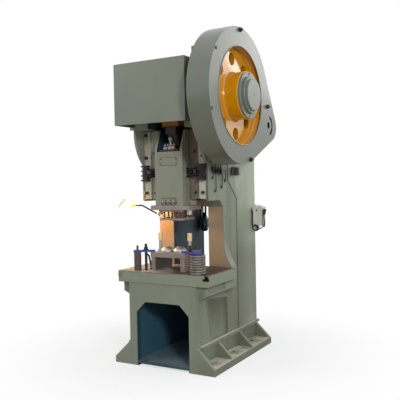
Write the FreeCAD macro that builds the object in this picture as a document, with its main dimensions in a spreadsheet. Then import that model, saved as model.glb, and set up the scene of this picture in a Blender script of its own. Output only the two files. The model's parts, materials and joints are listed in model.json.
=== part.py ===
"""Open-front mechanical stamping press with a fixed table, as a parametric document.

Millimetres. X runs across the machine, Y runs from the front to the back and Z is up.
The origin is on the floor, at the centre of the six foundation bolt holes.
The ram is drawn at the top of its stroke.
"""
import FreeCAD, Part
import Sketcher
import math
import os

# ---------------------------------------------------------------- driving sizes
SIZES = (
    # foundation and frame
    ("bolt_edge", 70, "foundation bolts in from the edge of the feet"),
    ("bolt_y", 350, "half the spacing of the foundation bolts front to back"),
    ("foundation_hole", 26, "diameter of a foundation bolt hole"),
    ("frame_half", 290, "half the width of the column"),
    ("front_y", -500, "front face of the base"),
    ("back_y", 545, "rear face of the column"),
    ("foot_spread", 140, "reach of a foot beyond the column"),
    ("foot_thick", 50, "thickness of a foot"),
    ("foot_rise", 180, "height where a foot's ribs meet the column"),
    ("foot_gap", 35, "rear end of the feet in from the column's rear face"),
    ("rib_thick", 26, "thickness of a foot rib"),
    ("rib_toe", 14, "step at the outer end of a foot rib"),
    ("ledge_thick", 24, "thickness of the ledge over the foot ribs"),
    ("floor_gap", 17, "height of the base's middle above the floor"),
    ("sill_top", 35, "top of the base's floor plate"),
    ("window_side", 65, "width of the base beside its window"),
    ("window_top", 482, "top of the window in the base"),
    ("window_corner", 78, "chamfer at the window's upper corners"),
    ("base_wall", 45, "wall of the base"),
    ("cavity_top", 480, "ceiling of the base's chamber"),
    ("well_floor", 560, "floor of the open back"),
    ("table_seat", 623, "height of the face that carries the bolster"),
    ("throat_reach", 212, "face of the uprights behind the crank axis"),
    ("throat_gap", 4, "room between the vee guides and the uprights"),
    ("web_wall", 72, "thickness of the uprights' webs"),
    ("flange_thick", 80, "depth of an upright's front flange"),
    ("throat_corner", 52, "chamfer at the top of the throat"),
    ("arch_drop", 45, "lower edge of the head's rear wall below the head"),
    ("back_wall", 60, "thickness of the column's rear wall"),
    ("shelf_thick", 40, "thickness of the motor shelf"),
    ("head_bottom", 1225, "underside of the head"),
    ("gib_reach", 20, "front plane of the gibs in front of the crank axis"),
    ("gib_back", 115, "face of the head that carries the gibs, behind the crank axis"),
    ("cheek_plate", 22, "thickness of the cheek plates"),
    ("cheek_reach", 110, "reach of the cheek plates in front of the gibs"),
    ("nose_start", 1500, "height where the cheek plates' noses begin"),
    ("nose_rise", 252, "height of a cheek plate's curved nose"),
    ("nose_radius", 328, "radius of a cheek plate's nose"),
    ("head_top", 2190, "top of the head"),
    ("head_corner", 60, "chamfer along the head's top"),
    ("head_reach", 270, "rear face of the head behind the crank axis"),
    ("crank_wall", 85, "thickness of the head's rear wall"),
    ("shelf_top", 1645, "height of the motor shelf"),
    ("gib_top", 1762, "top of the gibs"),
    ("bracket_reach", 68, "reach of a table bracket beyond the column"),
    ("bracket_inset", 30, "front of a table bracket behind the base's face"),
    ("bracket_slope", 34, "fall of a table bracket's underside"),
    ("bracket_bottom", 552, "underside of the table brackets"),
    ("flare_rise", 220, "height of an upright's flare above the table"),
    ("flare_radius", 380, "radius of an upright's flare"),
    ("side_step", 6, "depth of the step in the column's side"),
    ("seam_reach", 175, "front edge of the stepped panel behind the head"),
    ("panel_lead", 25, "front edge of the upper panel behind the head"),
    ("panel_corner", 33, "chamfer in the upper panel's front edge"),
    ("panel_drop", 125, "lower end of the upper panel's edge below the noses"),
    ("hollow_inset", 160, "front of a hollowed side wall behind the base's face"),
    ("hollow_lean", 62, "lean of a hollowed side wall's front edge"),
    ("hollow_depth", 14, "depth of a hollowed side wall"),
    ("pocket_inset", 60, "front of a bracket pocket behind the base's face"),
    ("pocket_length", 270, "length of a bracket pocket"),
    ("lift_start", 124, "front edge of a lifting window behind the head"),
    ("lift_length", 91, "length of a lifting window"),
    ("lift_drop", 83, "lower edge of a lifting window below the noses"),
    ("lift_height", 60, "height of a lifting window"),
    ("overlap", 1, "depth by which joined features run into each other"),
    # bolster
    ("bolster_reach", 98, "reach of the bolster beyond the column"),
    ("bolster_top", 708, "height of the table"),
    ("bolster_lip", 4, "overhang of the bolster in front of the base"),
    ("bolster_corner", 8, "corner radius of the bolster"),
    ("drop_hole", 170, "diameter of the drop-through hole"),
    ("drop_rim", 22, "width of the step round the drop-through hole"),
    ("slot_neck", 22, "width of a T-slot's neck"),
    ("slot_foot", 38, "width of a T-slot's foot"),
    ("slot_depth", 42, "depth of a T-slot"),
    ("slot_foot_rise", 17, "height of a T-slot's foot"),
    # crank and rod
    ("crank_y", -270, "crank axis, front to back"),
    ("crank_z", 1970, "crank axis above the floor"),
    ("throw_r", 50, "crank throw, half the stroke"),
    ("journal_r", 65, "radius of a main journal"),
    ("bush_wall", 15, "wall of the bronze crank bushes"),
    ("bush_flange", 8, "thickness of a crank bush's flange"),
    ("running_gap", 0.05, "radial clearance of a running fit"),
    ("pin_r", 70, "radius of the crank pin"),
    ("side_gap", 3, "room beside the big end and beside the crank's webs"),
    ("web_rim", 26, "reach of a crank web beyond its journal"),
    ("drive_r", 50, "radius of the crankshaft's drive end"),
    ("shaft_proud", 18, "reach of the crankshaft beyond the flywheel's hub"),
    ("rod_half", 72, "half the width of the big end"),
    ("big_end_r", 112, "outer radius of the big end"),
    ("shell_wall", 12, "wall of the big end's bronze shell"),
    ("rod_lug", 26, "reach of the big end's bolt lugs"),
    ("lug_thick", 34, "thickness of a bolt lug"),
    ("ball_z", 1555, "height of the ball's centre"),
    ("ball_r", 38, "radius of the adjusting screw's ball"),
    ("neck_r", 22, "radius of the neck above the ball"),
    ("collar_rise", 70, "height of the screw's hexagon above the ball"),
    ("collar_thick", 14, "thickness of the screw's hexagon"),
    ("screw_r", 30, "radius of the adjusting screw"),
    ("seat_wall", 14, "thickness of the ball's seat under the ball"),
    ("screw_reach", 120, "length of the screw inside the rod"),
    ("rod_foot_z", 1668, "underside of the connecting rod"),
    ("rod_foot_rise", 60, "height of the rod's threaded foot"),
    # ram and guides
    ("ram_half", 121, "half the width of the ram"),
    ("ram_depth", 102, "half the depth of the ram"),
    ("ram_bottom", 1194, "underside of the ram"),
    ("cheek_rise", 162, "height of the ram's cheeks above its pocket"),
    ("cheek_slope", 58, "set-back of the ram's cheeks at their top"),
    ("ram_cheek", 21, "thickness of the ram's cheeks"),
    ("ball_cover", 3, "depth of the ball below the ram's pocket"),
    ("vee_reach", 42, "centre of the vee guides behind the crank axis"),
    ("vee_half", 34, "half the height of a vee guide"),
    ("gib_gap", 7, "room between the ram's side and a gib"),
    ("gib_rise", 46, "bottom of the gibs above the underside of the ram"),
    ("gib_step", 14, "set-back of a gib's inner half"),
    ("gib_land", 56, "width of the raised outer half of a gib's front"),
    ("clamp_height", 122, "height of a gib clamp"),
    ("clamp_depth", 42, "depth of a gib clamp"),
    ("clamp_inset", 6, "inner end of a gib clamp from the gib's edge"),
    ("gib_screw", 22, "width across the flats of the gibs' bolts"),
    ("gib_screw_inset", 48, "lowest bolt above a gib's lower end"),
    ("plate_drop", 106, "lower edge of the name plate's field below the ram's pocket"),
    ("plate_high", 62, "height of the name plate's field"),
    ("plate_half", 77, "half the width of the name plate's field"),
    ("shank_r", 25, "radius of the die shank"),
    ("shank_clamp_high", 56, "height of the shank clamp's recess"),
    ("shank_clamp_half", 66, "half the width of the shank clamp's recess"),
    ("ram_plate_half", 165, "half the width of the ram plate"),
    ("ram_plate_thick", 34, "thickness of the ram plate"),
    ("ram_plate_depth", 200, "depth of the ram plate"),
    # flywheel, guard and drive
    ("wheel_r", 425, "outer radius of the flywheel"),
    ("wheel_rim", 60, "depth of the flywheel's rim"),
    ("wheel_width", 132, "width of the flywheel's rim"),
    ("wheel_gap", 20, "room between the guard's back and the flywheel"),
    ("web_inset", 50, "inner face of the flywheel's web from its rim's inner face"),
    ("web_thick", 38, "thickness of the flywheel's web"),
    ("hub_r", 168, "radius of the flywheel's hub"),
    ("hub_reach", 66, "reach of the hub beyond the flywheel's rim"),
    ("hub_plate", 15, "thickness of the hub cover"),
    ("wheel_bore_r", 72, "radius of the bore in the hub"),
    ("lightening_r", 45, "radius of a hole in the web"),
    ("lightening_circle", 266, "radius of the circle of holes"),
    ("guard_room", 59, "room between the flywheel's rim and the belt guard's wall"),
    ("guard_small_r", 109, "radius of the belt guard round the pulley"),
    ("guard_rise", 5, "centre of the guard's small end below the motor axis"),
    ("guard_shift", 48, "centre of the guard's small end behind the motor axis"),
    ("guard_gap", 102, "room between the column and the belt guard"),
    ("guard_width", 170, "width of the belt guard"),
    ("guard_opening_r", 347, "radius of the opening in the guard"),
    ("guard_screw", 17, "width across the flats of the guard's screws"),
    ("airing_r", 82, "outer radius of the airing slot at the motor"),
    ("sheet", 3, "thickness of the guard's sheet"),
    ("bracket_sheet", 8, "thickness of the guard's brackets"),
    ("arm_rise", 108, "lower edge of the guard's arm above the crank axis"),
    ("arm_high", 88, "height of the guard's arm"),
    ("guard_plate_rise", 118, "top of the guard's front plate above the head"),
    ("motor_back", 57, "motor axis behind the flywheel's rim"),
    ("motor_rise", 152, "motor axis above its shelf"),
    ("motor_r", 112, "radius of the motor's stator"),
    ("motor_gap", 12, "room between the motor's drive end and the guard"),
    ("motor_length", 420, "length of the motor"),
    ("motor_shaft_r", 19, "radius of the motor shaft"),
    ("motor_foot", 132, "height of the motor axis above its feet"),
    ("motor_cowl", 92, "length of the motor's fan cowl"),
    ("motor_flange", 26, "length of the motor's end shield"),
    ("pulley_r", 72, "outer radius of the motor pulley"),
    ("pulley_edge", 14, "rim of the pulley beside its outer belts"),
    ("belt_pitch", 19, "spacing of the belts"),
    ("belt_inset", 67, "first belt from the guard's back"),
    ("belt_drop", 0.5, "depth of a belt's outer face below the rim"),
    ("belt_depth", 11, "depth of a belt"),
    ("belt_top", 17, "width of a belt's outer face"),
    ("belt_bottom", 10, "width of a belt's inner face"),
    ("brake_r", 130, "radius of the brake drum"),
    ("brake_gap", 50, "room between the column and the brake drum"),
    ("brake_width", 60, "width of the brake drum"),
    ("brake_tail", 30, "reach of the crankshaft beyond the brake drum"),
    ("band_thick", 6, "thickness of the brake band"),
    ("anchor_drop", 25, "anchor of the brake band below the drum"),
    ("anchor_thick", 34, "thickness of the anchor"),
    # hood
    ("hood_lap", 10, "reach of the hood beyond the column"),
    ("hood_reach", 350, "front face of the hood in front of the crank axis"),
    ("hood_bottom", 1787, "lower edge of the hood"),
    ("hood_rise", 40, "top of the hood above the head"),
    ("hood_sheet", 2.5, "thickness of the hood's sheet"),
    ("hood_lip", 14, "width of the lip round the hood's lower edge"),
    ("hood_tuck", 20, "overlap of the hood with the cheek plates"),
    # dies
    ("upper_half", 106, "half the width of the upper die"),
    ("upper_depth", 180, "depth of the upper die"),
    ("die_shift", 10, "centre of the upper die behind the crank axis"),
    ("upper_thick", 14, "thickness of the upper die's plate"),
    ("stripper_drop", 48, "gap between the upper die's plates"),
    ("stripper_thick", 17, "thickness of the stripper plate"),
    ("stripper_inset", 4, "edge of the stripper plate in from the upper die"),
    ("stud_r", 7.5, "radius of a stripper stud"),
    ("stud_pitch", 32, "spacing of the stripper studs"),
    ("lower_half", 150, "half the width of the lower die plate"),
    ("lower_lead", 145, "front edge of the lower die plate in front of the crank axis"),
    ("lower_depth", 250, "depth of the lower die plate"),
    ("lower_thick", 38, "thickness of the lower die plate"),
    ("rail_rise", 100, "height of the die rails"),
    ("rail_thick", 36, "thickness of a die rail"),
    ("rail_inset", 4, "edge of the die rails in from the lower die plate"),
    ("dome_x", 56, "forming domes from the middle"),
    ("dome_lead", 52, "forming domes in front of the crank axis"),
    ("dome_r", 52, "radius of a forming dome's foot"),
    ("dome_collar", 9, "height of a forming dome's collar"),
    ("dome_rise", 40, "height of a forming dome"),
    ("post_x", 130, "guide posts from the middle"),
    ("post_lead", 30, "guide posts in front of the crank axis"),
    ("post_r", 12.5, "radius of a guide post"),
    ("post_rise", 132, "height of the guide posts above the lower die plate"),
    ("post_foot_r", 19, "radius of a guide post's foot"),
    ("post_foot", 14, "height of a guide post's foot"),
    ("bush_r", 21, "outer radius of a guide bush"),
    ("bush_drop", 38, "length of a guide bush"),
    ("sleeve_r", 17, "radius of a ball sleeve"),
    ("sleeve_drop", 52, "reach of a ball sleeve below the post's top"),
    ("sleeve_gap", 0.3, "radial clearance of a ball sleeve on its post"),
    # clamps
    ("heel_inset", 148, "left clamp's heel in from the side of the bolster"),
    ("ring_inset", 108, "right clamp's heel in from the side of the bolster"),
    ("heel_lead", 37, "clamp heels in front of the lower die plate"),
    ("heel_r", 27, "radius of the heel post"),
    ("heel_ring_r", 58, "radius of the stacked rings"),
    ("ring_count", 8, "number of stacked rings"),
    ("strap_thick", 16, "thickness of a strap clamp"),
    ("strap_width", 42, "width of a strap clamp"),
    ("strap_grip", 22, "reach of a strap over the lower die plate"),
    ("strap_tail", 28, "reach of a strap beyond its heel"),
    ("stud_size", 10, "radius of a clamp stud"),
    ("stud_top", 46, "reach of a clamp stud above its strap"),
    # fittings
    ("oiler_reach", 47, "middle of the hand lubricator beyond the column"),
    ("oiler_back", 40, "hand lubricator in front of the column's rear face"),
    ("oiler_base", 992, "underside of the hand lubricator's tank"),
    ("oiler_rise", 158, "height of the hand lubricator's tank"),
    ("oiler_width", 92, "width of the hand lubricator's tank"),
    ("oiler_depth", 70, "depth of the hand lubricator's tank"),
    ("oiler_lid", 14, "thickness of the tank's lid"),
    ("pump_r", 24, "radius of the pump's boss"),
    ("lever_in", 12, "pivot of the lubricator's lever from the tank's middle"),
    ("lever_drop", 20, "pivot of the lever below the tank"),
    ("lever_r", 5, "radius of the lever's rod"),
    ("lever_reach", 62, "length of the lever's level run"),
    ("lever_rise", 118, "height of the lever's upright run"),
    ("grip_length", 48, "length of the lever's grip"),
    ("pipe_r", 4, "radius of an oil pipe"),
    ("pipe_bend", 12, "bend radius of an oil pipe"),
    ("pipe_pitch", 40, "spacing of the oil pipes"),
    ("union_size", 14, "width across the flats of a pipe union"),
    ("manifold_high", 30, "height of the oil manifold"),
    ("manifold_thick", 24, "thickness of the oil manifold"),
    ("lamp_out", 122, "centre of the lamp's dome beyond the column"),
    ("lamp_lead", 42, "centre of the lamp's dome in front of the crank axis"),
    ("lamp_z", 1155, "height of the lamp's centre"),
    ("lamp_r", 85, "radius of the lamp's dome"),
    ("lamp_sheet", 1.5, "thickness of the lamp's shade"),
    ("lamp_neck_r", 6, "radius of the lamp's neck"),
    ("bulb_r", 24, "radius of the bulb"),
    ("bent_rod_r", 7, "radius of the bent locating rod"),
    ("air_gap", 50, "air service unit in front of the column's rear face"),
    ("air_z", 1100, "height of the air service unit's block"),
    ("air_bowl_r", 27, "radius of the air service unit's bowl"),
    ("air_bowl", 120, "length of the air service unit's bowl"),
)

# sizes that follow from the driving ones
DERIVED = (
    ("foot_half", "frame_half + foot_spread", "half the width over the feet"),
    ("foot_back_y", "back_y - foot_gap", "rear end of the feet"),
    ("bolt_x", "foot_half - bolt_edge", "foundation bolts from the middle"),
    ("window_half", "frame_half - window_side", "half the width of the window in the base"),
    ("apex_x", "ram_half + vee_half", "point of a vee guide from the middle"),
    ("throat_half", "apex_x + throat_gap", "half the gap between the uprights"),
    ("web_half", "frame_half - web_wall", "half the gap between the webs"),
    ("throat_y", "crank_y + throat_reach", "front face of the uprights"),
    ("gib_front_y", "crank_y - gib_reach", "front plane of the gibs"),
    ("gib_back_y", "crank_y + gib_back", "face of the head that carries the gibs"),
    ("cheek_front_y", "gib_front_y - cheek_reach", "front edge of the cheek plates"),
    ("head_back_y", "crank_y + head_reach", "rear face of the head"),
    ("crank_wall_y", "head_back_y - crank_wall", "rear wall of the crank chamber"),
    ("seam_y", "head_back_y + seam_reach", "front edge of the stepped panel"),
    ("panel_y", "head_back_y + panel_lead", "front edge of the upper panel"),
    ("bracket_half", "frame_half + bracket_reach", "half the width over the table brackets"),
    ("bolster_half", "frame_half + bolster_reach", "half the width of the bolster"),
    ("heel_x", "bolster_half - heel_inset", "left clamp's heel from the middle"),
    ("ring_x", "bolster_half - ring_inset", "right clamp's heel from the middle"),
    ("drop_y", "crank_y - gib_reach", "centre of the drop-through hole, front to back"),
    ("pin_half", "rod_half + side_gap", "half the length of the crank pin"),
    ("pocket_floor", "ball_z + ball_r + ball_cover", "floor of the pocket in the ram"),
    ("ram_top", "pocket_floor + cheek_rise", "top of the ram's cheeks"),
    ("pocket_half", "ram_half - ram_cheek", "half the width of the pocket in the ram"),
    ("vee_y", "crank_y + vee_reach", "centre of the vee guides, front to back"),
    ("gib_inner", "ram_half + gib_gap", "inner face of a gib from the middle"),
    ("gib_outer", "frame_half - cheek_plate", "outer face of a gib from the middle"),
    ("gib_bottom", "ram_bottom + gib_rise", "bottom of the gibs"),
    ("gib_split", "gib_outer - gib_land", "where a gib's front steps back"),
    ("plate_z", "pocket_floor - plate_drop", "lower edge of the name plate's field"),
    ("guard_in_x", "frame_half + guard_gap", "inner face of the belt guard"),
    ("guard_out_x", "guard_in_x + guard_width", "outer face of the belt guard"),
    ("wheel_in_x", "guard_in_x + wheel_gap", "inner face of the flywheel"),
    ("wheel_out_x", "wheel_in_x + wheel_width", "outer face of the flywheel's rim"),
    ("web_in_x", "wheel_in_x + web_inset", "inner face of the flywheel's web"),
    ("web_out_x", "web_in_x + web_thick", "outer face of the flywheel's web"),
    ("hub_out_x", "wheel_out_x + hub_reach", "outer face of the flywheel's hub"),
    ("guard_r", "wheel_r + guard_room", "radius of the belt guard round the flywheel"),
    ("motor_y", "crank_y + wheel_r + motor_back", "motor axis, front to back"),
    ("motor_z", "shelf_top + motor_rise", "motor axis above the floor"),
    ("motor_in_x", "guard_in_x - motor_gap", "drive end of the motor"),
    ("motor_out_x", "motor_in_x - motor_length", "fan end of the motor"),
    ("guard_end_y", "motor_y + guard_shift", "centre of the guard's small end"),
    ("guard_end_z", "motor_z - guard_rise", "height of the guard's small end"),
    ("belt_first_x", "guard_in_x + belt_inset", "first belt from the middle"),
    ("brake_in_x", "frame_half + brake_gap", "inner face of the brake drum from the middle"),
    ("brake_end", "brake_in_x + brake_width + brake_tail", "left end of the crankshaft"),
    ("hood_half", "frame_half + hood_lap", "half the width of the hood"),
    ("hood_front_y", "crank_y - hood_reach", "front face of the hood"),
    ("hood_top", "head_top + hood_rise", "top of the hood"),
    ("die_y", "crank_y + die_shift", "centre of the upper die, front to back"),
    ("lower_front_y", "crank_y - lower_lead", "front edge of the lower die plate"),
    ("lower_back_y", "lower_front_y + lower_depth", "rear edge of the lower die plate"),
    ("die_top", "bolster_top + rail_rise + lower_thick", "top of the lower die plate"),
    ("dome_y", "crank_y - dome_lead", "forming domes, front to back"),
    ("post_y", "crank_y - post_lead", "guide posts, front to back"),
    ("post_top", "die_top + post_rise", "top of the guide posts"),
    ("heel_y", "lower_front_y - heel_lead", "clamp heels, front to back"),
    ("heel_rise", "rail_rise + lower_thick", "height of the clamp heels"),
    ("oiler_x", "frame_half + oiler_reach", "middle of the hand lubricator"),
    ("oiler_y", "back_y - oiler_back", "hand lubricator, front to back"),
    ("lever_x", "oiler_x - lever_in", "pivot of the lubricator's lever"),
    ("lever_z", "oiler_base - lever_drop", "height of the lever's pivot"),
    ("lamp_x", "-frame_half - lamp_out", "centre of the lamp's dome"),
    ("lamp_y", "crank_y - lamp_lead", "centre of the lamp's dome, front to back"),
    ("air_y", "back_y - air_gap", "air service unit, front to back"),
)


class Size:
    """A number together with the spreadsheet formula that it comes from."""

    def __init__(self, value, text=None):
        self.value = float(value)
        self.text = text if text is not None else repr(float(value))

    @staticmethod
    def of(other):
        return other if isinstance(other, Size) else Size(other)

    def __add__(self, other):
        other = Size.of(other)
        return Size(self.value + other.value, "(%s + %s)" % (self.text, other.text))

    __radd__ = __add__

    def __sub__(self, other):
        other = Size.of(other)
        return Size(self.value - other.value, "(%s - %s)" % (self.text, other.text))

    def __rsub__(self, other):
        return Size.of(other) - self

    def __mul__(self, other):
        other = Size.of(other)
        return Size(self.value * other.value, "(%s * %s)" % (self.text, other.text))

    __rmul__ = __mul__

    def __truediv__(self, other):
        other = Size.of(other)
        return Size(self.value / other.value, "(%s / %s)" % (self.text, other.text))

    def __neg__(self):
        return Size(0) - self


class Sheet:
    """The driving sizes, each an attribute of this object."""


doc = FreeCAD.newDocument("stamping_press")
table = doc.addObject("Spreadsheet::Sheet", "sizes")
s = Sheet()
LINES = SIZES + tuple((alias, "=" + formula, meaning) for alias, formula, meaning in DERIVED)
for line, (alias, content, meaning) in enumerate(LINES, start=1):
    table.set("A%d" % line, meaning)
    table.set("B%d" % line, str(content))
    table.setAlias("B%d" % line, alias)
doc.recompute()
for alias, content, meaning in LINES:
    setattr(s, alias, Size(table.get(alias), "sizes.%s" % alias))

PIECES = []
PLANE_ROLE = {"XY": "XY_Plane", "XZ": "XZ_Plane", "YZ": "YZ_Plane"}


def bind(thing, prop, size):
    """Tie a property to the formula of a size."""
    size = Size.of(size)
    if size.text == repr(size.value):
        parts = prop.split(".")
        if len(parts) == 1:
            setattr(thing, prop, size.value)
            return
    thing.setExpression(prop, size.text)


def vector(x, y, z=0):
    return FreeCAD.Vector(Size.of(x).value, Size.of(y).value, Size.of(z).value)


# ---------------------------------------------------------------- sketch shapes
def pin_point(sketch, geo, end, x, y):
    """Fix one point of a sketch at bound coordinates."""
    for kind, value in (("DistanceX", x), ("DistanceY", y)):
        value = Size.of(value)
        index = sketch.addConstraint(Sketcher.Constraint(kind, -1, 1, geo, end, value.value))
        sketch.setExpression("Constraints[%d]" % index, value.text)


def fix_radius(sketch, geo, radius):
    radius = Size.of(radius)
    index = sketch.addConstraint(Sketcher.Constraint("Radius", geo, radius.value))
    sketch.setExpression("Constraints[%d]" % index, radius.text)


def polygon(points):
    """A closed outline of straight edges; a point's third value bends the edge that leaves it."""
    def draw(sketch):
        first = sketch.GeometryCount
        count = len(points)
        for i, point in enumerate(points):
            start = vector(point[0], point[1])
            end = vector(*points[(i + 1) % count][:2])
            if len(point) == 3:
                sketch.addGeometry(bent_edge(start, end, Size.of(point[2]).value), False)
            else:
                sketch.addGeometry(Part.LineSegment(start, end), False)
        for i, point in enumerate(points):
            here = edge_ends(points, i)
            following = edge_ends(points, (i + 1) % count)
            sketch.addConstraint(Sketcher.Constraint(
                "Coincident", first + i, here[1], first + (i + 1) % count, following[0]))
        for i, point in enumerate(points):
            pin_point(sketch, first + i, edge_ends(points, i)[0], point[0], point[1])
            if len(point) == 3:
                radius = Size.of(point[2])
                fix_radius(sketch, first + i, radius if radius.value > 0 else -radius)
    return draw


def edge_ends(points, i):
    """Start and end numbers of an edge: a clockwise arc is stored the other way round."""
    bent_back = len(points[i]) == 3 and Size.of(points[i][2]).value < 0
    return (2, 1) if bent_back else (1, 2)


def bent_edge(start, end, radius):
    """Arc from start to end, anticlockwise for a positive radius."""
    middle = (start + end) * 0.5
    chord = end - start
    rise = math.sqrt(radius * radius - chord.Length ** 2 / 4)
    side = FreeCAD.Vector(-chord.y, chord.x, 0).normalize()
    centre = middle + side * (rise if radius > 0 else -rise)
    first, last = (start, end) if radius > 0 else (end, start)
    a = math.atan2(first.y - centre.y, first.x - centre.x)
    b = math.atan2(last.y - centre.y, last.x - centre.x)
    circle = Part.Circle(centre, FreeCAD.Vector(0, 0, 1), abs(radius))
    return Part.ArcOfCircle(circle, a, b if b > a else b + 2 * math.pi)


def rectangle(x0, x1, y0, y1):
    return polygon([(x0, y0), (x1, y0), (x1, y1), (x0, y1)])


def circle(x, y, radius):
    def draw(sketch):
        geo = sketch.addGeometry(Part.Circle(vector(x, y), FreeCAD.Vector(0, 0, 1),
                                             Size.of(radius).value), False)
        pin_point(sketch, geo, 3, x, y)
        fix_radius(sketch, geo, radius)
    return draw


def together(*shapes):
    def draw(sketch):
        for shape in shapes:
            shape(sketch)
    return draw


def belt_loop(x0, y0, r0, x1, y1, r1):
    """Two circles joined by their outer tangents, like a belt round two pulleys."""
    def draw(sketch):
        a, b = vector(x0, y0), vector(x1, y1)
        big, small = Size.of(r0).value, Size.of(r1).value
        lean = math.atan2(b.y - a.y, b.x - a.x)
        half = math.acos((big - small) / (b - a).Length)
        up = FreeCAD.Vector(math.cos(lean + half), math.sin(lean + half), 0)
        down = FreeCAD.Vector(math.cos(lean - half), math.sin(lean - half), 0)
        axis = FreeCAD.Vector(0, 0, 1)
        first = sketch.GeometryCount
        sketch.addGeometry(Part.ArcOfCircle(Part.Circle(a, axis, big), lean + half,
                                            lean - half + 2 * math.pi), False)
        sketch.addGeometry(Part.LineSegment(a + down * big, b + down * small), False)
        sketch.addGeometry(Part.ArcOfCircle(Part.Circle(b, axis, small), lean - half,
                                            lean + half), False)
        sketch.addGeometry(Part.LineSegment(b + up * small, a + up * big), False)
        for edge in range(4):
            ends = (first + edge, 2, first + (edge + 1) % 4, 1)
            sketch.addConstraint(Sketcher.Constraint("Tangent", *ends))
        pin_point(sketch, first, 3, x0, y0)
        pin_point(sketch, first + 2, 3, x1, y1)
        fix_radius(sketch, first, r0)
        fix_radius(sketch, first + 2, r1)
    return draw


# ---------------------------------------------------------------- pieces
class Piece:
    """One separate part: a body placed in the machine, grown feature by feature."""

    def __init__(self, label, x=0, y=0, z=0):
        self.body = doc.addObject("PartDesign::Body", label)
        self.body.Label = label
        self.body.AllowCompound = True
        for axis, value in zip("xyz", (x, y, z)):
            self.body.setExpression("Placement.Base.%s" % axis, Size.of(value).text)
        self.origin = {f.Role: f for f in self.body.Origin.OriginFeatures}
        PIECES.append(self.body)

    def sketch(self, plane, offset, shape):
        """A sketch on one of the body's own planes, moved along the plane's normal."""
        sketch = self.body.newObject("Sketcher::SketchObject", "outline")
        sketch.AttachmentSupport = [(self.origin[PLANE_ROLE[plane]], "")]
        sketch.MapMode = "FlatFace"
        sketch.setExpression("AttachmentOffset.Base.z", Size.of(offset).text)
        shape(sketch)
        return sketch

    def slab(self, kind, plane, low, high, shape):
        """Pad or pocket between two places on the axis that the plane faces."""
        low, high = Size.of(low), Size.of(high)
        offset = -high if plane == "XZ" else low
        feature = self.body.newObject(kind, "slab")
        feature.Profile = self.sketch(plane, offset, shape)
        bind(feature, "Length", high - low)
        if kind == "PartDesign::Pocket":
            feature.Reversed = True
        self.body.Tip = feature
        return feature

    def add(self, plane, low, high, shape):
        return self.slab("PartDesign::Pad", plane, low, high, shape)

    def cut(self, plane, low, high, shape):
        return self.slab("PartDesign::Pocket", plane, low, high, shape)

    def turn(self, plane, axis, shape, kind="PartDesign::Revolution"):
        """Revolve an outline about the sketch's own H or V axis."""
        feature = self.body.newObject(kind, "turning")
        sketch = self.sketch(plane, 0, shape)
        feature.Profile = sketch
        feature.ReferenceAxis = (sketch, [axis])
        feature.Angle = 360
        self.body.Tip = feature
        return feature

    def sweep(self, path_plane, path_offset, path, plane, offset, section):
        """Carry a section along a path that starts where the section lies."""
        feature = self.body.newObject("PartDesign::AdditivePipe", "sweep")
        spine = self.sketch(path_plane, path_offset, path)
        profile = self.sketch(plane, offset, section)
        doc.recompute()
        feature.Profile = profile
        feature.Spine = (spine, ["Edge%d" % i for i in range(1, spine.GeometryCount + 1)])
        self.body.Tip = feature
        return feature

    def ring_of(self, feature, axis, count):
        """Repeat a feature round one of the body's own axes."""
        pattern = self.body.newObject("PartDesign::PolarPattern", "ring")
        pattern.Originals = [feature]
        pattern.Axis = (self.origin[axis], [""])
        pattern.Angle = 360
        pattern.Occurrences = count
        self.body.Tip = pattern
        return pattern

    def row_of(self, feature, axis, step, count):
        """Repeat a feature along one of the body's own axes."""
        pattern = self.body.newObject("PartDesign::LinearPattern", "row")
        pattern.Originals = [feature]
        pattern.Direction = (self.origin[axis], [""])
        pattern.Occurrences = count
        bind(pattern, "Length", Size.of(step) * (count - 1))
        self.body.Tip = pattern
        return pattern

    def mirror(self, features):
        """Repeat features on the other side of the body's YZ plane."""
        pattern = self.body.newObject("PartDesign::Mirrored", "mirror")
        pattern.Originals = features
        pattern.MirrorPlane = (self.origin["YZ_Plane"], [""])
        self.body.Tip = pattern
        return pattern

    def round(self, radius, choose, kind="PartDesign::Fillet"):
        """Round the edges of the present shape that the chooser accepts."""
        doc.recompute()
        base = self.body.Tip
        names = ["Edge%d" % i for i, edge in enumerate(base.Shape.Edges, start=1) if choose(edge)]
        feature = self.body.newObject(kind, "edges")
        feature.Base = (base, names)
        bind(feature, "Radius" if kind.endswith("Fillet") else "Size", radius)
        self.body.Tip = feature
        return feature


def upright_edge(xs, ys, slack=0.5):
    """Chooser for vertical edges at given places in a body's own frame."""
    def choose(edge):
        box = edge.BoundBox
        if box.XLength > slack or box.YLength > slack:
            return False
        near_x = any(abs(box.Center.x - Size.of(x).value) < slack for x in xs)
        near_y = any(abs(box.Center.y - Size.of(y).value) < slack for y in ys)
        return near_x and near_y
    return choose


def hexagon(x, y, across, turned=False):
    """Outline of a hexagon with its flats across the given width."""
    reach = across / math.sqrt(3)
    start = 30 if turned else 0
    corners = []
    for corner in range(6):
        angle = math.radians(start + 60 * corner)
        corners.append((x + reach * math.cos(angle), y + reach * math.sin(angle)))
    return polygon(corners)


def washer(x, y, outer, inner):
    return together(circle(x, y, outer), circle(x, y, inner))


def rounded_route(points, bend):
    """Straight runs joined by tangent arcs of one radius."""
    points = [FreeCAD.Vector(*point) for point in points]
    edges = []
    start = points[0]
    for before, corner, after in zip(points, points[1:], points[2:]):
        back = (before - corner).normalize()
        on = (after - corner).normalize()
        half = back.getAngle(on) / 2
        reach = bend / math.tan(half)
        inward = (back + on).normalize()
        first, last = corner + back * reach, corner + on * reach
        middle = corner + inward * (bend / math.sin(half) - bend)
        edges.append(Part.LineSegment(start, first).toShape())
        edges.append(Part.Arc(first, middle, last).toShape())
        start = last
    edges.append(Part.LineSegment(start, points[-1]).toShape())
    return Part.Wire(edges)


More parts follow.
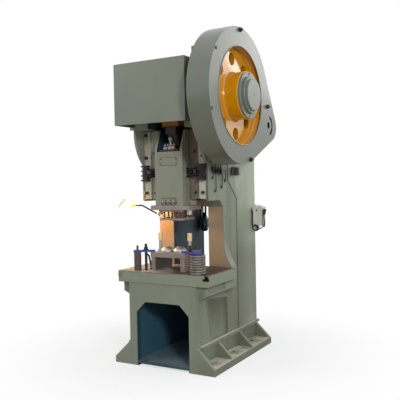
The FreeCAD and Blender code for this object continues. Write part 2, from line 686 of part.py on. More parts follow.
def tube(points, bend, radius):
    """Solid round bar along a rounded route."""
    route = rounded_route(points, bend)
    direction = FreeCAD.Vector(*points[1]) - FreeCAD.Vector(*points[0])
    ring = Part.Circle(FreeCAD.Vector(*points[0]), direction, radius).toShape()
    return route.makePipeShell([Part.Wire([ring])], True, True)


def free_form(label, shape, place=(0, 0, 0)):
    """A part whose route is not in one plane."""
    thing = doc.addObject("Part::Feature", label)
    thing.Label = label
    thing.Shape = shape
    thing.Placement = FreeCAD.Placement(FreeCAD.Vector(*place), FreeCAD.Rotation())
    PIECES.append(thing)
    return thing


# ---------------------------------------------------------------- frame
def frame():
    p = Piece("frame")
    back, lap = s.back_y, s.overlap
    nose_top = s.nose_start + s.nose_rise
    crown = s.head_corner * 2 / 3
    p.add("YZ", -s.frame_half, s.frame_half, polygon([
        (s.front_y, 0), (back, 0), (back, s.shelf_top), (s.head_back_y, s.shelf_top),
        (s.head_back_y, s.head_top - s.head_corner), (s.head_back_y - s.head_corner, s.head_top),
        (s.cheek_front_y + crown, s.head_top), (s.cheek_front_y, s.head_top - crown),
        (s.cheek_front_y, nose_top, s.nose_radius), (s.gib_front_y, s.nose_start),
        (s.gib_front_y, s.head_bottom), (s.throat_y - s.throat_corner, s.head_bottom),
        (s.throat_y, s.head_bottom - s.throat_corner), (s.throat_y, s.table_seat),
        (s.front_y, s.table_seat)]))
    # table brackets with a concave gusset up the side of each upright
    gusset_back = s.throat_y + s.flange_thick
    inner, outer = s.frame_half - lap, s.bracket_half
    toe = s.bracket_bottom - s.bracket_slope
    p.add("XZ", s.front_y + s.bracket_inset, gusset_back, together(
        polygon([(inner, toe), (outer, s.bracket_bottom), (outer, s.table_seat),
                 (inner, s.table_seat)]),
        polygon([(-inner, s.table_seat), (-outer, s.table_seat), (-outer, s.bracket_bottom),
                 (-inner, toe)])))
    flare_top = s.bolster_top + s.flare_rise
    seat = s.table_seat - lap
    p.add("XZ", s.throat_y, gusset_back, together(
        polygon([(inner, seat), (outer, seat), (outer, s.bolster_top, -s.flare_radius),
                 (s.frame_half, flare_top), (inner, flare_top)]),
        polygon([(-inner, seat), (-inner, flare_top), (-s.frame_half, flare_top, -s.flare_radius),
                 (-outer, s.bolster_top), (-outer, seat)])))
    feet(p)
    # the base: window, chamber, and the raised middle of its underside
    corner = s.window_corner
    wide = s.window_half
    p.cut("XZ", s.front_y - lap, s.front_y + s.base_wall + lap, polygon([
        (-wide, s.sill_top), (wide, s.sill_top), (wide, s.window_top - corner),
        (wide - corner, s.window_top), (corner - wide, s.window_top),
        (-wide, s.window_top - corner)]))
    p.cut("YZ", -(s.frame_half - s.base_wall), s.frame_half - s.base_wall, rectangle(
        s.front_y + s.base_wall, back - s.base_wall, s.sill_top, s.cavity_top))
    p.cut("XZ", s.front_y - lap, back + lap, rectangle(
        -wide * 0.978, wide * 0.978, -lap, s.floor_gap))
    # drop-through under the bolster
    p.cut("XY", s.cavity_top - lap, s.table_seat + lap, circle(0, s.drop_y, s.drop_hole / 2))
    # the open back between the uprights
    p.cut("XY", s.well_floor, s.head_bottom - s.arch_drop, rectangle(
        -s.throat_half, s.throat_half, s.throat_y - lap, gusset_back + lap))
    shelf = s.shelf_thick
    p.cut("YZ", -s.web_half, s.web_half, polygon([
        (gusset_back, s.well_floor), (back + lap, s.well_floor),
        (back + lap, s.head_bottom + shelf), (back - s.back_wall, s.head_bottom + shelf * 2),
        (back - s.back_wall, s.shelf_top - shelf), (gusset_back, s.shelf_top - shelf)]))
    # chamber for the ram and the crank, open to the front
    p.cut("YZ", -s.throat_half, s.throat_half, polygon([
        (s.cheek_front_y - lap, s.head_bottom - lap), (s.crank_wall_y, s.head_bottom - lap),
        (s.crank_wall_y, s.head_top - s.head_corner / 2),
        (s.crank_wall_y - s.head_corner, s.head_top + lap),
        (s.cheek_front_y - lap, s.head_top + lap)]))
    # room for the gibs between the cheek plates
    p.cut("YZ", -s.gib_outer, s.gib_outer, rectangle(
        s.cheek_front_y - lap, s.gib_back_y, s.head_bottom - lap, s.gib_top + s.gib_gap))
    # crank bearing bores
    p.cut("YZ", -s.frame_half - lap, s.frame_half + lap,
          circle(s.crank_y, s.crank_z, s.journal_r + s.bush_wall))
    # lifting windows through the sides behind the head
    lift_y, lift_z = s.head_back_y + s.lift_start, s.nose_start - s.lift_drop
    p.cut("YZ", -s.frame_half - lap, s.frame_half + lap, rectangle(
        lift_y, lift_y + s.lift_length, lift_z, lift_z + s.lift_height))
    # anchor of the brake band on the left cheek
    anchor_top = s.crank_z - s.brake_r - s.anchor_drop
    half = s.anchor_thick
    p.add("XY", anchor_top - s.anchor_thick, anchor_top, rectangle(
        -s.brake_in_x - s.brake_width * 0.9, lap - s.frame_half, s.crank_y - half,
        s.crank_y + half))
    side_details(p)
    return p


def feet(p):
    """Feet with their front flares, ribs, ledges and foundation bolt holes."""
    p.add("XY", 0, s.foot_thick, rectangle(-s.foot_half, s.foot_half, s.front_y, s.foot_back_y))
    length = s.foot_back_y - s.front_y
    rib, toe = s.rib_thick, s.rib_toe
    for start in (s.front_y, s.front_y + length * 0.287, s.front_y + length * 0.6435,
                  s.foot_back_y - rib):
        p.add("XZ", start, start + rib, polygon([
            (-s.foot_half, s.foot_thick * 0.9), (s.foot_half, s.foot_thick * 0.9),
            (s.foot_half - toe, s.foot_thick * 1.2), (s.frame_half, s.foot_rise),
            (-s.frame_half, s.foot_rise), (toe - s.foot_half, s.foot_thick * 1.2)]))
    p.add("XY", s.foot_rise - s.ledge_thick, s.foot_rise, rectangle(
        -s.frame_half - toe, s.frame_half + toe, s.front_y, s.foot_back_y))
    bosses = []
    holes = []
    for x in (-s.bolt_x, s.bolt_x):
        for y in (-s.bolt_y, Size(0), s.bolt_y):
            bosses.append(circle(x, y, s.foundation_hole * 1.25))
            holes.append(circle(x, y, s.foundation_hole / 2))
    p.add("XY", s.foot_thick * 0.9, s.foot_thick * 1.16, together(*bosses))
    p.cut("XY", -s.overlap, s.foot_thick * 1.2, together(*holes))


def side_details(p):
    """Stepped rear panels, bracket pockets and hollowed side walls, alike on both sides."""
    lap = s.overlap
    step = s.side_step
    outer = s.frame_half
    knee = s.head_bottom + s.side_step
    base = s.foot_rise + lap
    low = s.nose_start - s.panel_drop
    panel = polygon([
        (s.seam_y, base), (s.back_y + lap, base), (s.back_y + lap, s.shelf_top + lap),
        (s.panel_y, s.shelf_top + lap), (s.panel_y, low),
        (s.panel_y + s.panel_corner, low - s.panel_corner), (s.seam_y, knee)])
    hollow_back = s.throat_y + s.base_wall
    wall = polygon([
        (s.front_y + s.hollow_inset, s.bracket_bottom - s.base_wall),
        (s.front_y + s.hollow_inset + s.hollow_lean, base), (hollow_back, base),
        (hollow_back, s.bracket_bottom - s.flange_thick)])
    corner_panel = polygon([
        (s.panel_y + s.panel_corner * 1.25, low - s.panel_corner), (s.seam_y - step, knee + step * 2),
        (s.seam_y - step, low - s.panel_corner)])
    pocket = rectangle(s.front_y + s.pocket_inset, s.front_y + s.pocket_inset + s.pocket_length,
                       s.bracket_bottom + step * 2, s.table_seat - step)
    right = [
        p.cut("YZ", outer - step, outer + lap, panel),
        p.cut("YZ", outer - s.hollow_depth, outer + lap, wall),
        p.cut("YZ", outer - step, outer + lap, corner_panel),
        p.cut("YZ", s.bracket_half - s.hollow_depth, s.bracket_half + lap, pocket)]
    p.mirror(right)


# ---------------------------------------------------------------- bolster
def bolster():
    p = Piece("bolster")
    front = s.front_y - s.bolster_lip
    half = s.bolster_half
    p.add("XY", s.table_seat, s.bolster_top, rectangle(-half, half, front, s.throat_y))
    p.round(s.bolster_corner, upright_edge((-half, half), (front, s.throat_y)))
    p.cut("XY", s.table_seat - 1, s.bolster_top + 1, circle(0, s.drop_y, s.drop_hole / 2))
    p.cut("XY", s.bolster_top - s.drop_rim / 2, s.bolster_top + 1,
          circle(0, s.drop_y, s.drop_hole / 2 + s.drop_rim))
    # a diagonal T-slot from each corner towards the hole
    depth = front - s.drop_y
    for across, along in ((half, depth), (-half, depth), (half, s.throat_y - s.drop_y),
                          (-half, s.throat_y - s.drop_y)):
        for width, low, high in (
                (s.slot_neck, s.bolster_top - s.slot_depth, s.bolster_top + 1),
                (s.slot_foot, s.bolster_top - s.slot_depth,
                 s.bolster_top - s.slot_depth + s.slot_foot_rise)):
            p.cut("XY", low, high, slot_line(s.drop_y, across, along, width))
    return p


def slot_line(centre_y, across, along, width):
    """A strip from a third of the way out to past the corner of the bolster."""
    length = Size(math.hypot(across.value, along.value),
                  "sqrt((%s)^2 + (%s)^2)" % (across.text, along.text))
    side_x = width * along / length / 2
    side_y = width * across / length / 2
    near_x, near_y = across * 0.42, centre_y + along * 0.42
    far_x, far_y = across * 1.1, centre_y + along * 1.1
    return polygon([(near_x - side_x, near_y + side_y), (near_x + side_x, near_y - side_y),
                    (far_x + side_x, far_y - side_y), (far_x - side_x, far_y + side_y)])


# ---------------------------------------------------------------- guides
def gib(label, side):
    """A vee gib; side is 1 for the right one and -1 for the left one."""
    p = Piece(label)
    outer, inner = s.gib_outer, s.gib_inner
    apex = s.apex_x + s.running_gap * 1.5
    mouth = apex - inner
    points = [(outer, s.gib_front_y), (outer, s.gib_back_y), (inner, s.gib_back_y),
              (inner, s.vee_y + mouth), (apex, s.vee_y), (inner, s.vee_y - mouth),
              (inner, s.gib_front_y + s.gib_step), (s.gib_split, s.gib_front_y + s.gib_step),
              (s.gib_split, s.gib_front_y)]
    if side < 0:
        points = [(-x, y) for x, y in points]
    p.add("XY", s.gib_bottom, s.gib_top, polygon(points))
    return p


def gib_clamps():
    """The dark blocks across the gibs that carry the horizontal adjusting screws."""
    p = Piece("gib_clamps")
    low, high = s.nose_start - s.clamp_height, s.nose_start
    inner, outer = s.gib_inner + s.clamp_inset, s.gib_outer + s.clamp_inset
    front, step = s.gib_front_y - s.clamp_depth, s.gib_front_y + s.gib_step
    right = p.add("XY", low, high, polygon([
        (inner, step), (inner, front), (outer, front), (outer + s.clamp_inset, front + s.clamp_inset),
        (outer + s.clamp_inset, s.gib_front_y), (s.gib_split, s.gib_front_y), (s.gib_split, step)]))
    grooves = [rectangle(inner - s.overlap, outer + s.clamp_inset * 2, low + s.clamp_height * start,
                         low + s.clamp_height * (start + 0.07)) for start in (0.21, 0.44, 0.67)]
    groove = p.cut("XZ", front - s.overlap, front + s.clamp_depth * 0.2, together(*grooves))
    p.mirror([right, groove])
    return p


def gib_screws():
    """Hexagon bolts of the gibs and their clamps."""
    p = Piece("gib_screws")
    front, size = s.gib_front_y, s.gib_screw
    middle = s.nose_start - s.clamp_height / 2
    cross = together(*[hexagon(front - s.clamp_depth * 0.6, middle + s.clamp_height * rise, size * 0.77)
                       for rise in (-0.24, 0, 0.24)])
    start, end = s.gib_inner - s.clamp_inset / 2, s.gib_inner + s.clamp_inset
    p.add("YZ", start, end, cross)
    p.add("YZ", -end, -start, cross)
    low, high = s.gib_bottom + s.gib_screw_inset, s.gib_top - size * 1.4
    above = s.nose_start + s.gib_screw_inset
    heads, inner = [], []
    for side in (-1, 1):
        for z in (low, high, above + size / 2):
            heads.append(hexagon(side * (s.gib_split + s.gib_land * 0.64), z, size))
        for z in (low, above + size * 2):
            inner.append(hexagon(side * (s.gib_split - s.vee_half), z, size * 0.86))
    p.add("XZ", front - size * 0.64, front, together(*heads))
    p.add("XZ", front + s.gib_step - size * 0.55, front + s.gib_step, together(*inner))
    return p


# ---------------------------------------------------------------- crank train
def crank_bushes():
    p = Piece("crank_bushes", 0, s.crank_y, s.crank_z)
    inner = s.journal_r + s.running_gap
    outer = s.journal_r + s.bush_wall
    p.add("YZ", s.throat_half, s.frame_half + s.bush_flange / 2, washer(0, 0, outer, inner))
    p.add("YZ", -s.frame_half - s.bush_flange / 2, -s.throat_half, washer(0, 0, outer, inner))
    flange = outer + s.bush_wall
    p.add("YZ", s.frame_half, s.frame_half + s.bush_flange, washer(0, 0, flange, inner))
    p.add("YZ", -s.frame_half - s.bush_flange, -s.frame_half, washer(0, 0, flange, inner))
    return p


def crankshaft():
    """Journals, two webs and the crank pin, pin uppermost."""
    p = Piece("crankshaft", 0, s.crank_y, s.crank_z)
    web_out = s.throat_half - s.side_gap
    journal_out = s.frame_half + s.bush_flange * 1.25
    p.add("YZ", -s.brake_end, -journal_out, circle(0, 0, s.drive_r))
    p.add("YZ", -journal_out, -web_out, circle(0, 0, s.journal_r))
    p.add("YZ", web_out, journal_out, circle(0, 0, s.journal_r))
    end = s.hub_out_x + s.shaft_proud
    p.add("YZ", journal_out, end, circle(0, 0, s.drive_r))
    web = belt_loop(0, 0, s.journal_r + s.web_rim, 0, s.throw_r, s.pin_r + s.web_rim * 0.54)
    p.add("YZ", -web_out, -s.pin_half, web)
    p.add("YZ", s.pin_half, web_out, web)
    p.add("YZ", -s.pin_half, s.pin_half, circle(0, s.throw_r, s.pin_r))
    p.cut("YZ", end - s.drive_r / 4, end + s.overlap, circle(0, 0, s.drive_r / 10))
    return p


def rod_shell():
    p = Piece("rod_shell", 0, s.crank_y, s.crank_z + s.throw_r)
    inner = s.pin_r + s.running_gap
    reach = s.rod_half + s.side_gap * 0.66
    p.add("YZ", -reach, reach, washer(0, 0, s.pin_r + s.shell_wall, inner))
    return p


def connecting_rod():
    """Lower half of the big end, the tapering shank and the threaded foot."""
    p = Piece("connecting_rod", 0, s.crank_y, s.crank_z + s.throw_r)
    foot = s.rod_foot_z - s.crank_z - s.throw_r
    rise, lap = s.rod_foot_rise, s.overlap
    lug = s.big_end_r + s.rod_lug
    boss = s.screw_r + s.rod_lug
    bore = s.pin_r + s.shell_wall
    near, hip, drop = s.big_end_r * 0.92, s.big_end_r * 0.8, -s.big_end_r * 0.62
    shank = boss + s.neck_r / 3
    p.add("YZ", -s.rod_half, s.rod_half, polygon([
        (-lug, 0), (-lug, -s.lug_thick), (-near, -s.lug_thick), (-hip, drop),
        (-shank, foot + rise * 1.6), (-shank, foot + rise), (shank, foot + rise),
        (shank, foot + rise * 1.6), (hip, drop), (near, -s.lug_thick), (lug, -s.lug_thick),
        (lug, 0)]))
    p.add("XY", foot, foot + rise + lap, circle(0, 0, boss))
    p.cut("YZ", -s.rod_half - lap, s.rod_half + lap, circle(0, 0, bore))
    p.cut("XY", foot - lap, -bore - s.rod_lug, circle(0, 0, s.screw_r + s.running_gap * 10))
    # waisted sides
    for side in (-1, 1):
        low, high = (s.rod_half * 0.64, s.rod_half * 1.1)
        if side < 0:
            low, high = -high, -low
        p.cut("YZ", low, high, polygon([
            (-boss * 1.35, foot + rise - lap), (boss * 1.35, foot + rise - lap),
            (boss * 1.04, foot + rise * 2.5), (-boss * 1.04, foot + rise * 2.5)]))
    # the clamping slit at the foot
    slit = s.screw_r / 15
    p.cut("XZ", -boss - lap, -s.screw_r / 3, rectangle(-slit, slit, foot - lap, foot + rise * 0.83))
    return p


def rod_cap():
    p = Piece("rod_cap", 0, s.crank_y, s.crank_z + s.throw_r)
    lug, top = s.big_end_r + s.rod_lug, s.lug_thick - s.side_gap / 2
    shoulder = s.big_end_r * 0.91
    crown = Size(math.hypot(shoulder.value, top.value),
                 "sqrt((%s)^2 + (%s)^2)" % (shoulder.text, top.text))
    p.add("YZ", -s.rod_half, s.rod_half, polygon([
        (lug, 0), (lug, top), (shoulder, top, crown), (-shoulder, top), (-lug, top), (-lug, 0)]))
    p.cut("YZ", -s.rod_half - 1, s.rod_half + 1, circle(0, 0, s.pin_r + s.shell_wall))
    return p


def rod_bolts():
    p = Piece("rod_bolts", 0, s.crank_y, s.crank_z + s.throw_r)
    heads = []
    for x in (-0.53, 0.53):
        for y in (-s.big_end_r - s.rod_lug / 3, s.big_end_r + s.rod_lug / 3):
            heads.append(hexagon(s.rod_half * x, y, s.rod_lug))
    top, thick = s.lug_thick - s.side_gap / 2, s.rod_lug * 0.6
    p.add("XY", top, top + thick, together(*heads))
    p.add("XY", -s.lug_thick - thick, -s.lug_thick, together(*heads))
    return p


def adjusting_screw():
    """Ball-ended screw with its hexagon; the thread enters the rod."""
    p = Piece("adjusting_screw", 0, s.crank_y, s.ball_z)
    ball, neck, r = s.ball_r, s.neck_r, s.screw_r
    drop = Size(math.sqrt(ball.value ** 2 - neck.value ** 2),
                "sqrt((%s)^2 - (%s)^2)" % (ball.text, neck.text))
    collar = s.collar_rise + s.overlap
    top = s.rod_foot_z - s.ball_z + s.screw_reach
    p.turn("XZ", "V_Axis", polygon([
        (0, -ball, ball), (neck, drop), (neck, collar), (r, collar), (r, top), (0, top)]))
    p.add("XY", s.collar_rise, s.collar_rise + s.collar_thick, hexagon(0, 0, r * 2.8))
    return p


def lock_nut():
    p = Piece("lock_nut", 0, s.crank_y, s.rod_foot_z)
    p.add("XY", -s.screw_r * 0.93, 0, together(
        hexagon(0, 0, s.screw_r * 3.33, True), circle(0, 0, s.screw_r + s.running_gap * 10)))
    return p


def ball_cap():
    """Split plate over the ball, with a long slot for the neck."""
    p = Piece("ball_cap", 0, s.crank_y, s.pocket_floor)
    thick, half = s.neck_r * 0.68, s.pocket_half * 0.82
    slot = s.neck_r + s.side_gap
    p.add("XY", 0, thick, rectangle(-half, half, s.cheek_slope * 0.1 - s.ram_depth,
                                    s.ram_depth * 0.59))
    p.cut("XY", -s.overlap, thick + s.overlap, rectangle(-slot, slot, -s.throw_r - slot, slot))
    return p


def ball_seat():
    p = Piece("ball_seat", 0, s.crank_y, s.ball_z)
    r = s.ball_r
    skin = s.running_gap * 8
    lip = r * 0.21
    p.add("XY", -r - s.seat_wall, lip, rectangle(
        -r - s.side_gap * 0.97, r + s.side_gap * 0.97, r * 0.58, r * 1.105))
    p.turn("XZ", "V_Axis", polygon([
        (0, -r - skin, r + skin), (r + skin, 0), (r + skin, lip + s.overlap),
        (0, lip + s.overlap)]), "PartDesign::Groove")
    return p


def ram_bolts():
    """Socket screws of the ball cap and the three bolts of the shank clamp."""
    p = Piece("ram_bolts", 0, s.crank_y, 0)
    cover = s.pocket_floor + s.neck_r * 0.68
    size = s.gib_screw
    caps = [circle(s.pocket_half * x, s.ram_depth * y, size * 0.36)
            for x in (-0.62, 0.62) for y in (-0.69, 0.39)]
    p.add("XY", cover, cover + size / 2, together(*caps))
    heads = [hexagon(s.shank_clamp_half * x, s.ram_bottom + s.shank_clamp_high / 2, size * 1.18)
             for x in (-0.667, -0.03, 0.606)]
    face = -s.ram_depth + s.clamp_inset * 1.34
    p.add("XZ", face - size * 0.64, face, together(*heads))
    return p


# ---------------------------------------------------------------- ram
def ram():
    p = Piece("ram", 0, s.crank_y, 0)
    d, w, vh, lap = s.ram_depth, s.ram_half, s.vee_half, s.overlap
    vee = s.vee_reach
    p.add("XY", s.ram_bottom, s.ram_top, polygon([
        (-w, -d), (w, -d), (w, vee - vh), (w + vh, vee), (w, vee + vh), (w, d), (-w, d),
        (-w, vee + vh), (-w - vh, vee), (-w, vee - vh)]))
    # pocket round the adjusting screw, open to the front and the top
    back = d - s.ram_cheek
    p.cut("YZ", -s.pocket_half, s.pocket_half, polygon([
        (-d - lap, s.pocket_floor), (back, s.pocket_floor), (back, s.ram_top + lap),
        (-d - lap, s.ram_top + lap)]))
    # the cheeks beside the pocket lean back towards their tops
    p.cut("YZ", -w - lap, w + lap, polygon([
        (-d - lap, s.pocket_floor + s.ram_cheek), (-d, s.pocket_floor + s.ram_cheek),
        (-d + s.cheek_slope, s.ram_top + lap), (-d - lap, s.ram_top + lap)]))
    # chamber of the ball, long enough for the crank's throw
    ball = s.ball_r
    p.cut("XY", s.ball_z - ball - s.seat_wall, s.pocket_floor + lap, rectangle(
        -ball - s.side_gap, ball + s.side_gap, -s.throw_r - ball - s.side_gap, ball * 1.105))
    # shank hole and the recess of its clamp
    p.cut("XY", s.ram_bottom - lap, s.ram_bottom + s.shank_r * 3,
          circle(0, 0, s.shank_r + s.running_gap * 4))
    p.cut("XY", s.ram_bottom - lap, s.ram_bottom + s.shank_clamp_high, rectangle(
        -s.shank_clamp_half, s.shank_clamp_half, -d - lap, -d / 2))
    # grooves up the flanks, and the knock-out slot
    groove = rectangle(-d * 0.745, -d * 0.63, s.ram_bottom - lap, s.ram_top + lap)
    for low, high in ((w - s.gib_gap, w + lap), (-w - lap, s.gib_gap - w)):
        p.cut("YZ", low, high, groove)
    p.cut("YZ", -w - lap, w + lap, rectangle(
        -d * 0.39, -d * 0.176, s.ram_bottom + d * 0.41, s.ram_bottom + d * 1.47))
    # shallow field for the name plate
    p.cut("XZ", -d - lap, -d + s.sheet, rectangle(
        -s.plate_half, s.plate_half, s.plate_z, s.plate_z + s.plate_high))
    return p


def shank_clamp():
    p = Piece("shank_clamp", 0, s.crank_y, s.ram_bottom)
    d = s.ram_depth
    half, high = s.shank_clamp_half - s.overlap, s.shank_clamp_high - s.overlap
    p.add("XY", 0, high, rectangle(-half, half, s.clamp_inset * 1.34 - d, -d / 2))
    p.cut("XY", -s.overlap, high + s.overlap, rectangle(
        -s.shank_r * 0.72, s.shank_r * 0.72, -s.shank_r * 2.72, s.overlap - d / 2))
    return p


def name_plate():
    """Bare plate in its field on the ram, with its four rivets."""
    p = Piece("name_plate", 0, s.crank_y, s.plate_z)
    d, edge = s.ram_depth, s.plate_high / 15
    half, high = s.plate_half - edge, s.plate_high
    p.add("XZ", -d + s.sheet / 3, -d + s.sheet, rectangle(-half, half, edge, high - edge))
    rivets = [circle(half * x, high * z, s.sheet) for x in (-0.87, 0.87) for z in (0.2, 0.8)]
    p.add("XZ", -d - s.sheet / 6, -d + s.sheet / 3, together(*rivets))
    return p


def ram_plate():
    p = Piece("ram_plate", 0, s.crank_y, s.ram_bottom)
    t, half, lap = s.ram_plate_thick, s.ram_plate_half, s.overlap
    front = -s.ram_depth - s.side_gap
    middle = front + s.ram_plate_depth / 2
    p.add("XY", -t, 0, rectangle(-half, half, front, front + s.ram_plate_depth))
    p.cut("XY", -t - lap, lap, circle(0, 0, s.shank_r + s.running_gap * 4))
    p.cut("XY", -t - lap, lap, together(*[
        circle(half * x, middle + s.ram_plate_depth * y, s.shank_r * 0.36)
        for x in (-0.86, 0.86) for y in (-0.35, 0.35)]))
    return p


def upper_die():
    """Punch plate with its shank."""
    p = Piece("upper_die", 0, s.crank_y, s.ram_bottom - s.ram_plate_thick)
    half = s.upper_depth / 2
    p.add("XY", -s.upper_thick, 0, rectangle(
        -s.upper_half, s.upper_half, s.die_shift - half, s.die_shift + half))
    p.add("XY", 0, s.ram_plate_thick + s.shank_r * 2.4, circle(0, 0, s.shank_r))
    return p


def guide_bushes():
    p = Piece("guide_bushes", 0, s.post_y, s.ram_bottom - s.ram_plate_thick)
    inner = s.post_r + s.running_gap
    p.add("XY", -s.bush_drop, 0, together(washer(-s.post_x, 0, s.bush_r, inner),
                                          washer(s.post_x, 0, s.bush_r, inner)))
    return p


def stripper_studs():
    top = s.ram_bottom - s.ram_plate_thick - s.upper_thick
    p = Piece("stripper_studs", 0, s.die_y, top)
    span = s.upper_depth * 0.4
    row = []
    for y in (-span, span):
        for place in (-2.2, -1, 0, 1, 2, 2.8):
            row.append(circle(s.stud_pitch * place, y, s.stud_r))
    p.add("XY", -s.stripper_drop, 0, together(*row))
    return p


def stripper_plate():
    top = s.ram_bottom - s.ram_plate_thick - s.upper_thick - s.stripper_drop
    p = Piece("stripper_plate", 0, s.die_y, top)
    wide, half = s.upper_half - s.stripper_inset, s.upper_depth / 2 - s.stripper_inset
    p.add("XY", -s.stripper_thick, 0, rectangle(-wide, wide, -half, half))
    for side in (-1, 1):
        p.cut("XY", -s.stripper_thick - s.overlap, s.overlap,
              circle(side * s.dome_x, 0, s.dome_r * 0.62))
    return p


# ---------------------------------------------------------------- lower die and clamps
def die_rails():
    p = Piece("die_rails", 0, 0, s.bolster_top)
    outer = s.lower_half - s.rail_inset
    inner = outer - s.rail_thick
    front, back = s.lower_front_y + s.rail_inset, s.lower_back_y - s.rail_inset
    p.add("XY", 0, s.rail_rise, rectangle(inner, outer, front, back))
    p.add("XY", 0, s.rail_rise, rectangle(-outer, -inner, front, back))
    return p


def lower_die_plate():
    p = Piece("lower_die_plate", 0, 0, s.bolster_top + s.rail_rise)
    t, half = s.lower_thick, s.lower_half
    p.add("XY", 0, t, rectangle(-half, half, s.lower_front_y, s.lower_back_y))
    p.cut("XY", -s.overlap, t + s.overlap, circle(0, s.lower_back_y - s.dome_r, s.stud_size * 1.6))
    p.round(s.side_gap, upright_edge((-half, half), (s.lower_front_y, s.lower_back_y)),
            "PartDesign::Chamfer")
    return p


def forming_domes():
    """Two polished forming punches: a short collar under a shallow dome."""
    p = Piece("forming_domes", -s.dome_x, s.dome_y, s.die_top)
    r = s.dome_r
    height = s.dome_rise - s.dome_collar
    crown = (r * r + height * height) / height / 2
    dome = p.turn("XZ", "V_Axis", polygon([
        (0, 0), (r, 0), (r, s.dome_collar, crown), (0, s.dome_rise)]))
    p.row_of(dome, "X_Axis", s.dome_x * 2, 2)
    return p


def guide_posts():
    p = Piece("guide_posts", 0, s.post_y, s.die_top)
    p.add("XY", 0, s.post_rise, together(circle(-s.post_x, 0, s.post_r),
                                         circle(s.post_x, 0, s.post_r)))
    p.add("XY", 0, s.post_foot, together(circle(-s.post_x, 0, s.post_foot_r),
                                         circle(s.post_x, 0, s.post_foot_r)))
    return p


def ball_sleeves():
    p = Piece("ball_sleeves", 0, s.post_y, s.post_top)
    inner = s.post_r + s.sleeve_gap
    cap = s.stripper_inset
    p.add("XY", -s.sleeve_drop, cap, together(washer(-s.post_x, 0, s.sleeve_r, inner),
                                              washer(s.post_x, 0, s.sleeve_r, inner)))
    p.add("XY", cap, cap + s.side_gap, together(circle(-s.post_x, 0, s.sleeve_r),
                                                circle(s.post_x, 0, s.sleeve_r)))
    return p


def strap_run(side):
    """Heel, and reach across and along, of the strap on one side."""
    heel = s.ring_x if side > 0 else s.heel_x
    return heel, heel - s.lower_half + s.strap_grip * 1.36, s.heel_lead + s.strap_grip


def strap_clamps():
    """Two tapering straps from their heels in to the corners of the lower die."""
    p = Piece("strap_clamps", 0, s.heel_y, s.die_top)
    half = s.strap_width / 2
    for side in (-1, 1):
        heel, reach_x, reach_y = strap_run(side)
        length = Size(math.hypot(reach_x.value, reach_y.value),
                      "sqrt((%s)^2 + (%s)^2)" % (reach_x.text, reach_y.text))
        tail = s.strap_tail / length
        corners = []
        for run, wide in ((-tail, -1), (Size(1), -0.55), (Size(1), 0.55), (-tail, 1)):
            x = heel - run * reach_x + half * reach_y / length * wide
            y = run * reach_y + half * reach_x / length * wide
            corners.append((side * x, y))
        if side < 0:
            corners.reverse()
        p.add("XY", 0, s.strap_thick, polygon(corners))
    return p


def clamp_studs():
    """Studs with their nuts and washers through the straps."""
    p = Piece("clamp_studs", 0, s.heel_y, s.bolster_top)
    strap = s.heel_rise + s.strap_thick
    size = s.stud_size
    shafts, nuts, rings = [], [], []
    for side in (-1, 1):
        heel, reach_x, reach_y = strap_run(side)
        x = side * (heel - reach_x * 0.48)
        y = reach_y * 0.48
        shafts.append(circle(x, y, size))
        nuts.append(hexagon(x, y, size * 3))
        rings.append(circle(x, y, size * 2))
    p.add("XY", 0, s.heel_rise, together(*shafts))
    p.add("XY", strap, strap + size * 0.4, together(*rings))
    p.add("XY", strap + size * 0.4, strap + size * 2, together(*nuts))
    p.add("XY", strap + size * 2, strap + s.stud_top, together(*shafts))
    return p


def heel_post():
    p = Piece("heel_post", -s.heel_x, s.heel_y, s.bolster_top)
    top = s.heel_rise + s.strap_thick
    p.add("XY", 0, s.heel_rise, circle(0, 0, s.heel_r))
    p.add("XY", top, top + s.stud_top * 0.74, circle(0, 0, s.heel_r * 0.3))
    return p


def heel_rings():
    """A stack of loose rings that serves as the right clamp's heel."""
    p = Piece("heel_rings", s.ring_x, s.heel_y, s.bolster_top)
    pitch = s.heel_rise / s.ring_count
    r = s.heel_ring_r
    groove = r * 0.93
    ring = p.turn("XZ", "V_Axis", polygon([
        (r * 0.45, 0), (groove, 0), (r, pitch * 0.25), (r, pitch * 0.75), (groove, pitch),
        (r * 0.45, pitch)]))
    p.row_of(ring, "Z_Axis", pitch, int(s.ring_count.value))
    return p


def bent_rod():
    """Locating rod bent over from the table to the side of the lower die."""
    r = s.bent_rod_r.value
    deck = s.bolster_top.value
    side = -s.lower_half.value
    y = s.lower_front_y.value + r * 8.6
    rise = s.rail_rise.value + r * 1.7
    rod = tube([(side - r * 12.6, y, deck + rise), (side - r * 8, y, deck + rise),
                (side - r * 4.3, y, deck + r * 0.6)], r * 3.4, r)
    foot = Part.makeCylinder(r * 2, r * 1.4, FreeCAD.Vector(side - r * 4.3, y, deck))
    return free_form("bent_rod", rod.fuse(foot))


# ---------------------------------------------------------------- covers
def hood():
    """Bent sheet box in front of the crank chamber, open at the back and below."""
    p = Piece("hood")
    half, t, lap = s.hood_half, s.hood_sheet, s.overlap
    front, lip = s.hood_front_y, s.hood_lip
    back = s.cheek_front_y + s.hood_tuck
    p.add("YZ", -half, half, rectangle(front, back, s.hood_bottom, s.hood_top))
    p.cut("YZ", t - half, half - t, rectangle(
        front + t, back + lap, s.hood_bottom + t, s.hood_top - t))
    p.cut("XY", s.hood_bottom - lap, s.hood_bottom + t + lap, rectangle(
        lip - half, half - lip, front + lip, back + lap))
    p.cut("XY", s.hood_bottom - lap, s.hood_bottom + t + lap, rectangle(
        -s.frame_half, s.frame_half, s.cheek_front_y, back + lap))
    # closing strip on the head, and spacers against the cheeks
    p.add("XZ", back - t, back, rectangle(-half, half, s.head_top, s.hood_top))
    spacer = rectangle(s.cheek_front_y + t, back, s.hood_bottom, s.head_top - s.hood_rise * 1.25)
    p.add("YZ", s.frame_half, half - t, spacer)
    p.add("YZ", t - half, -s.frame_half, spacer)
    return p


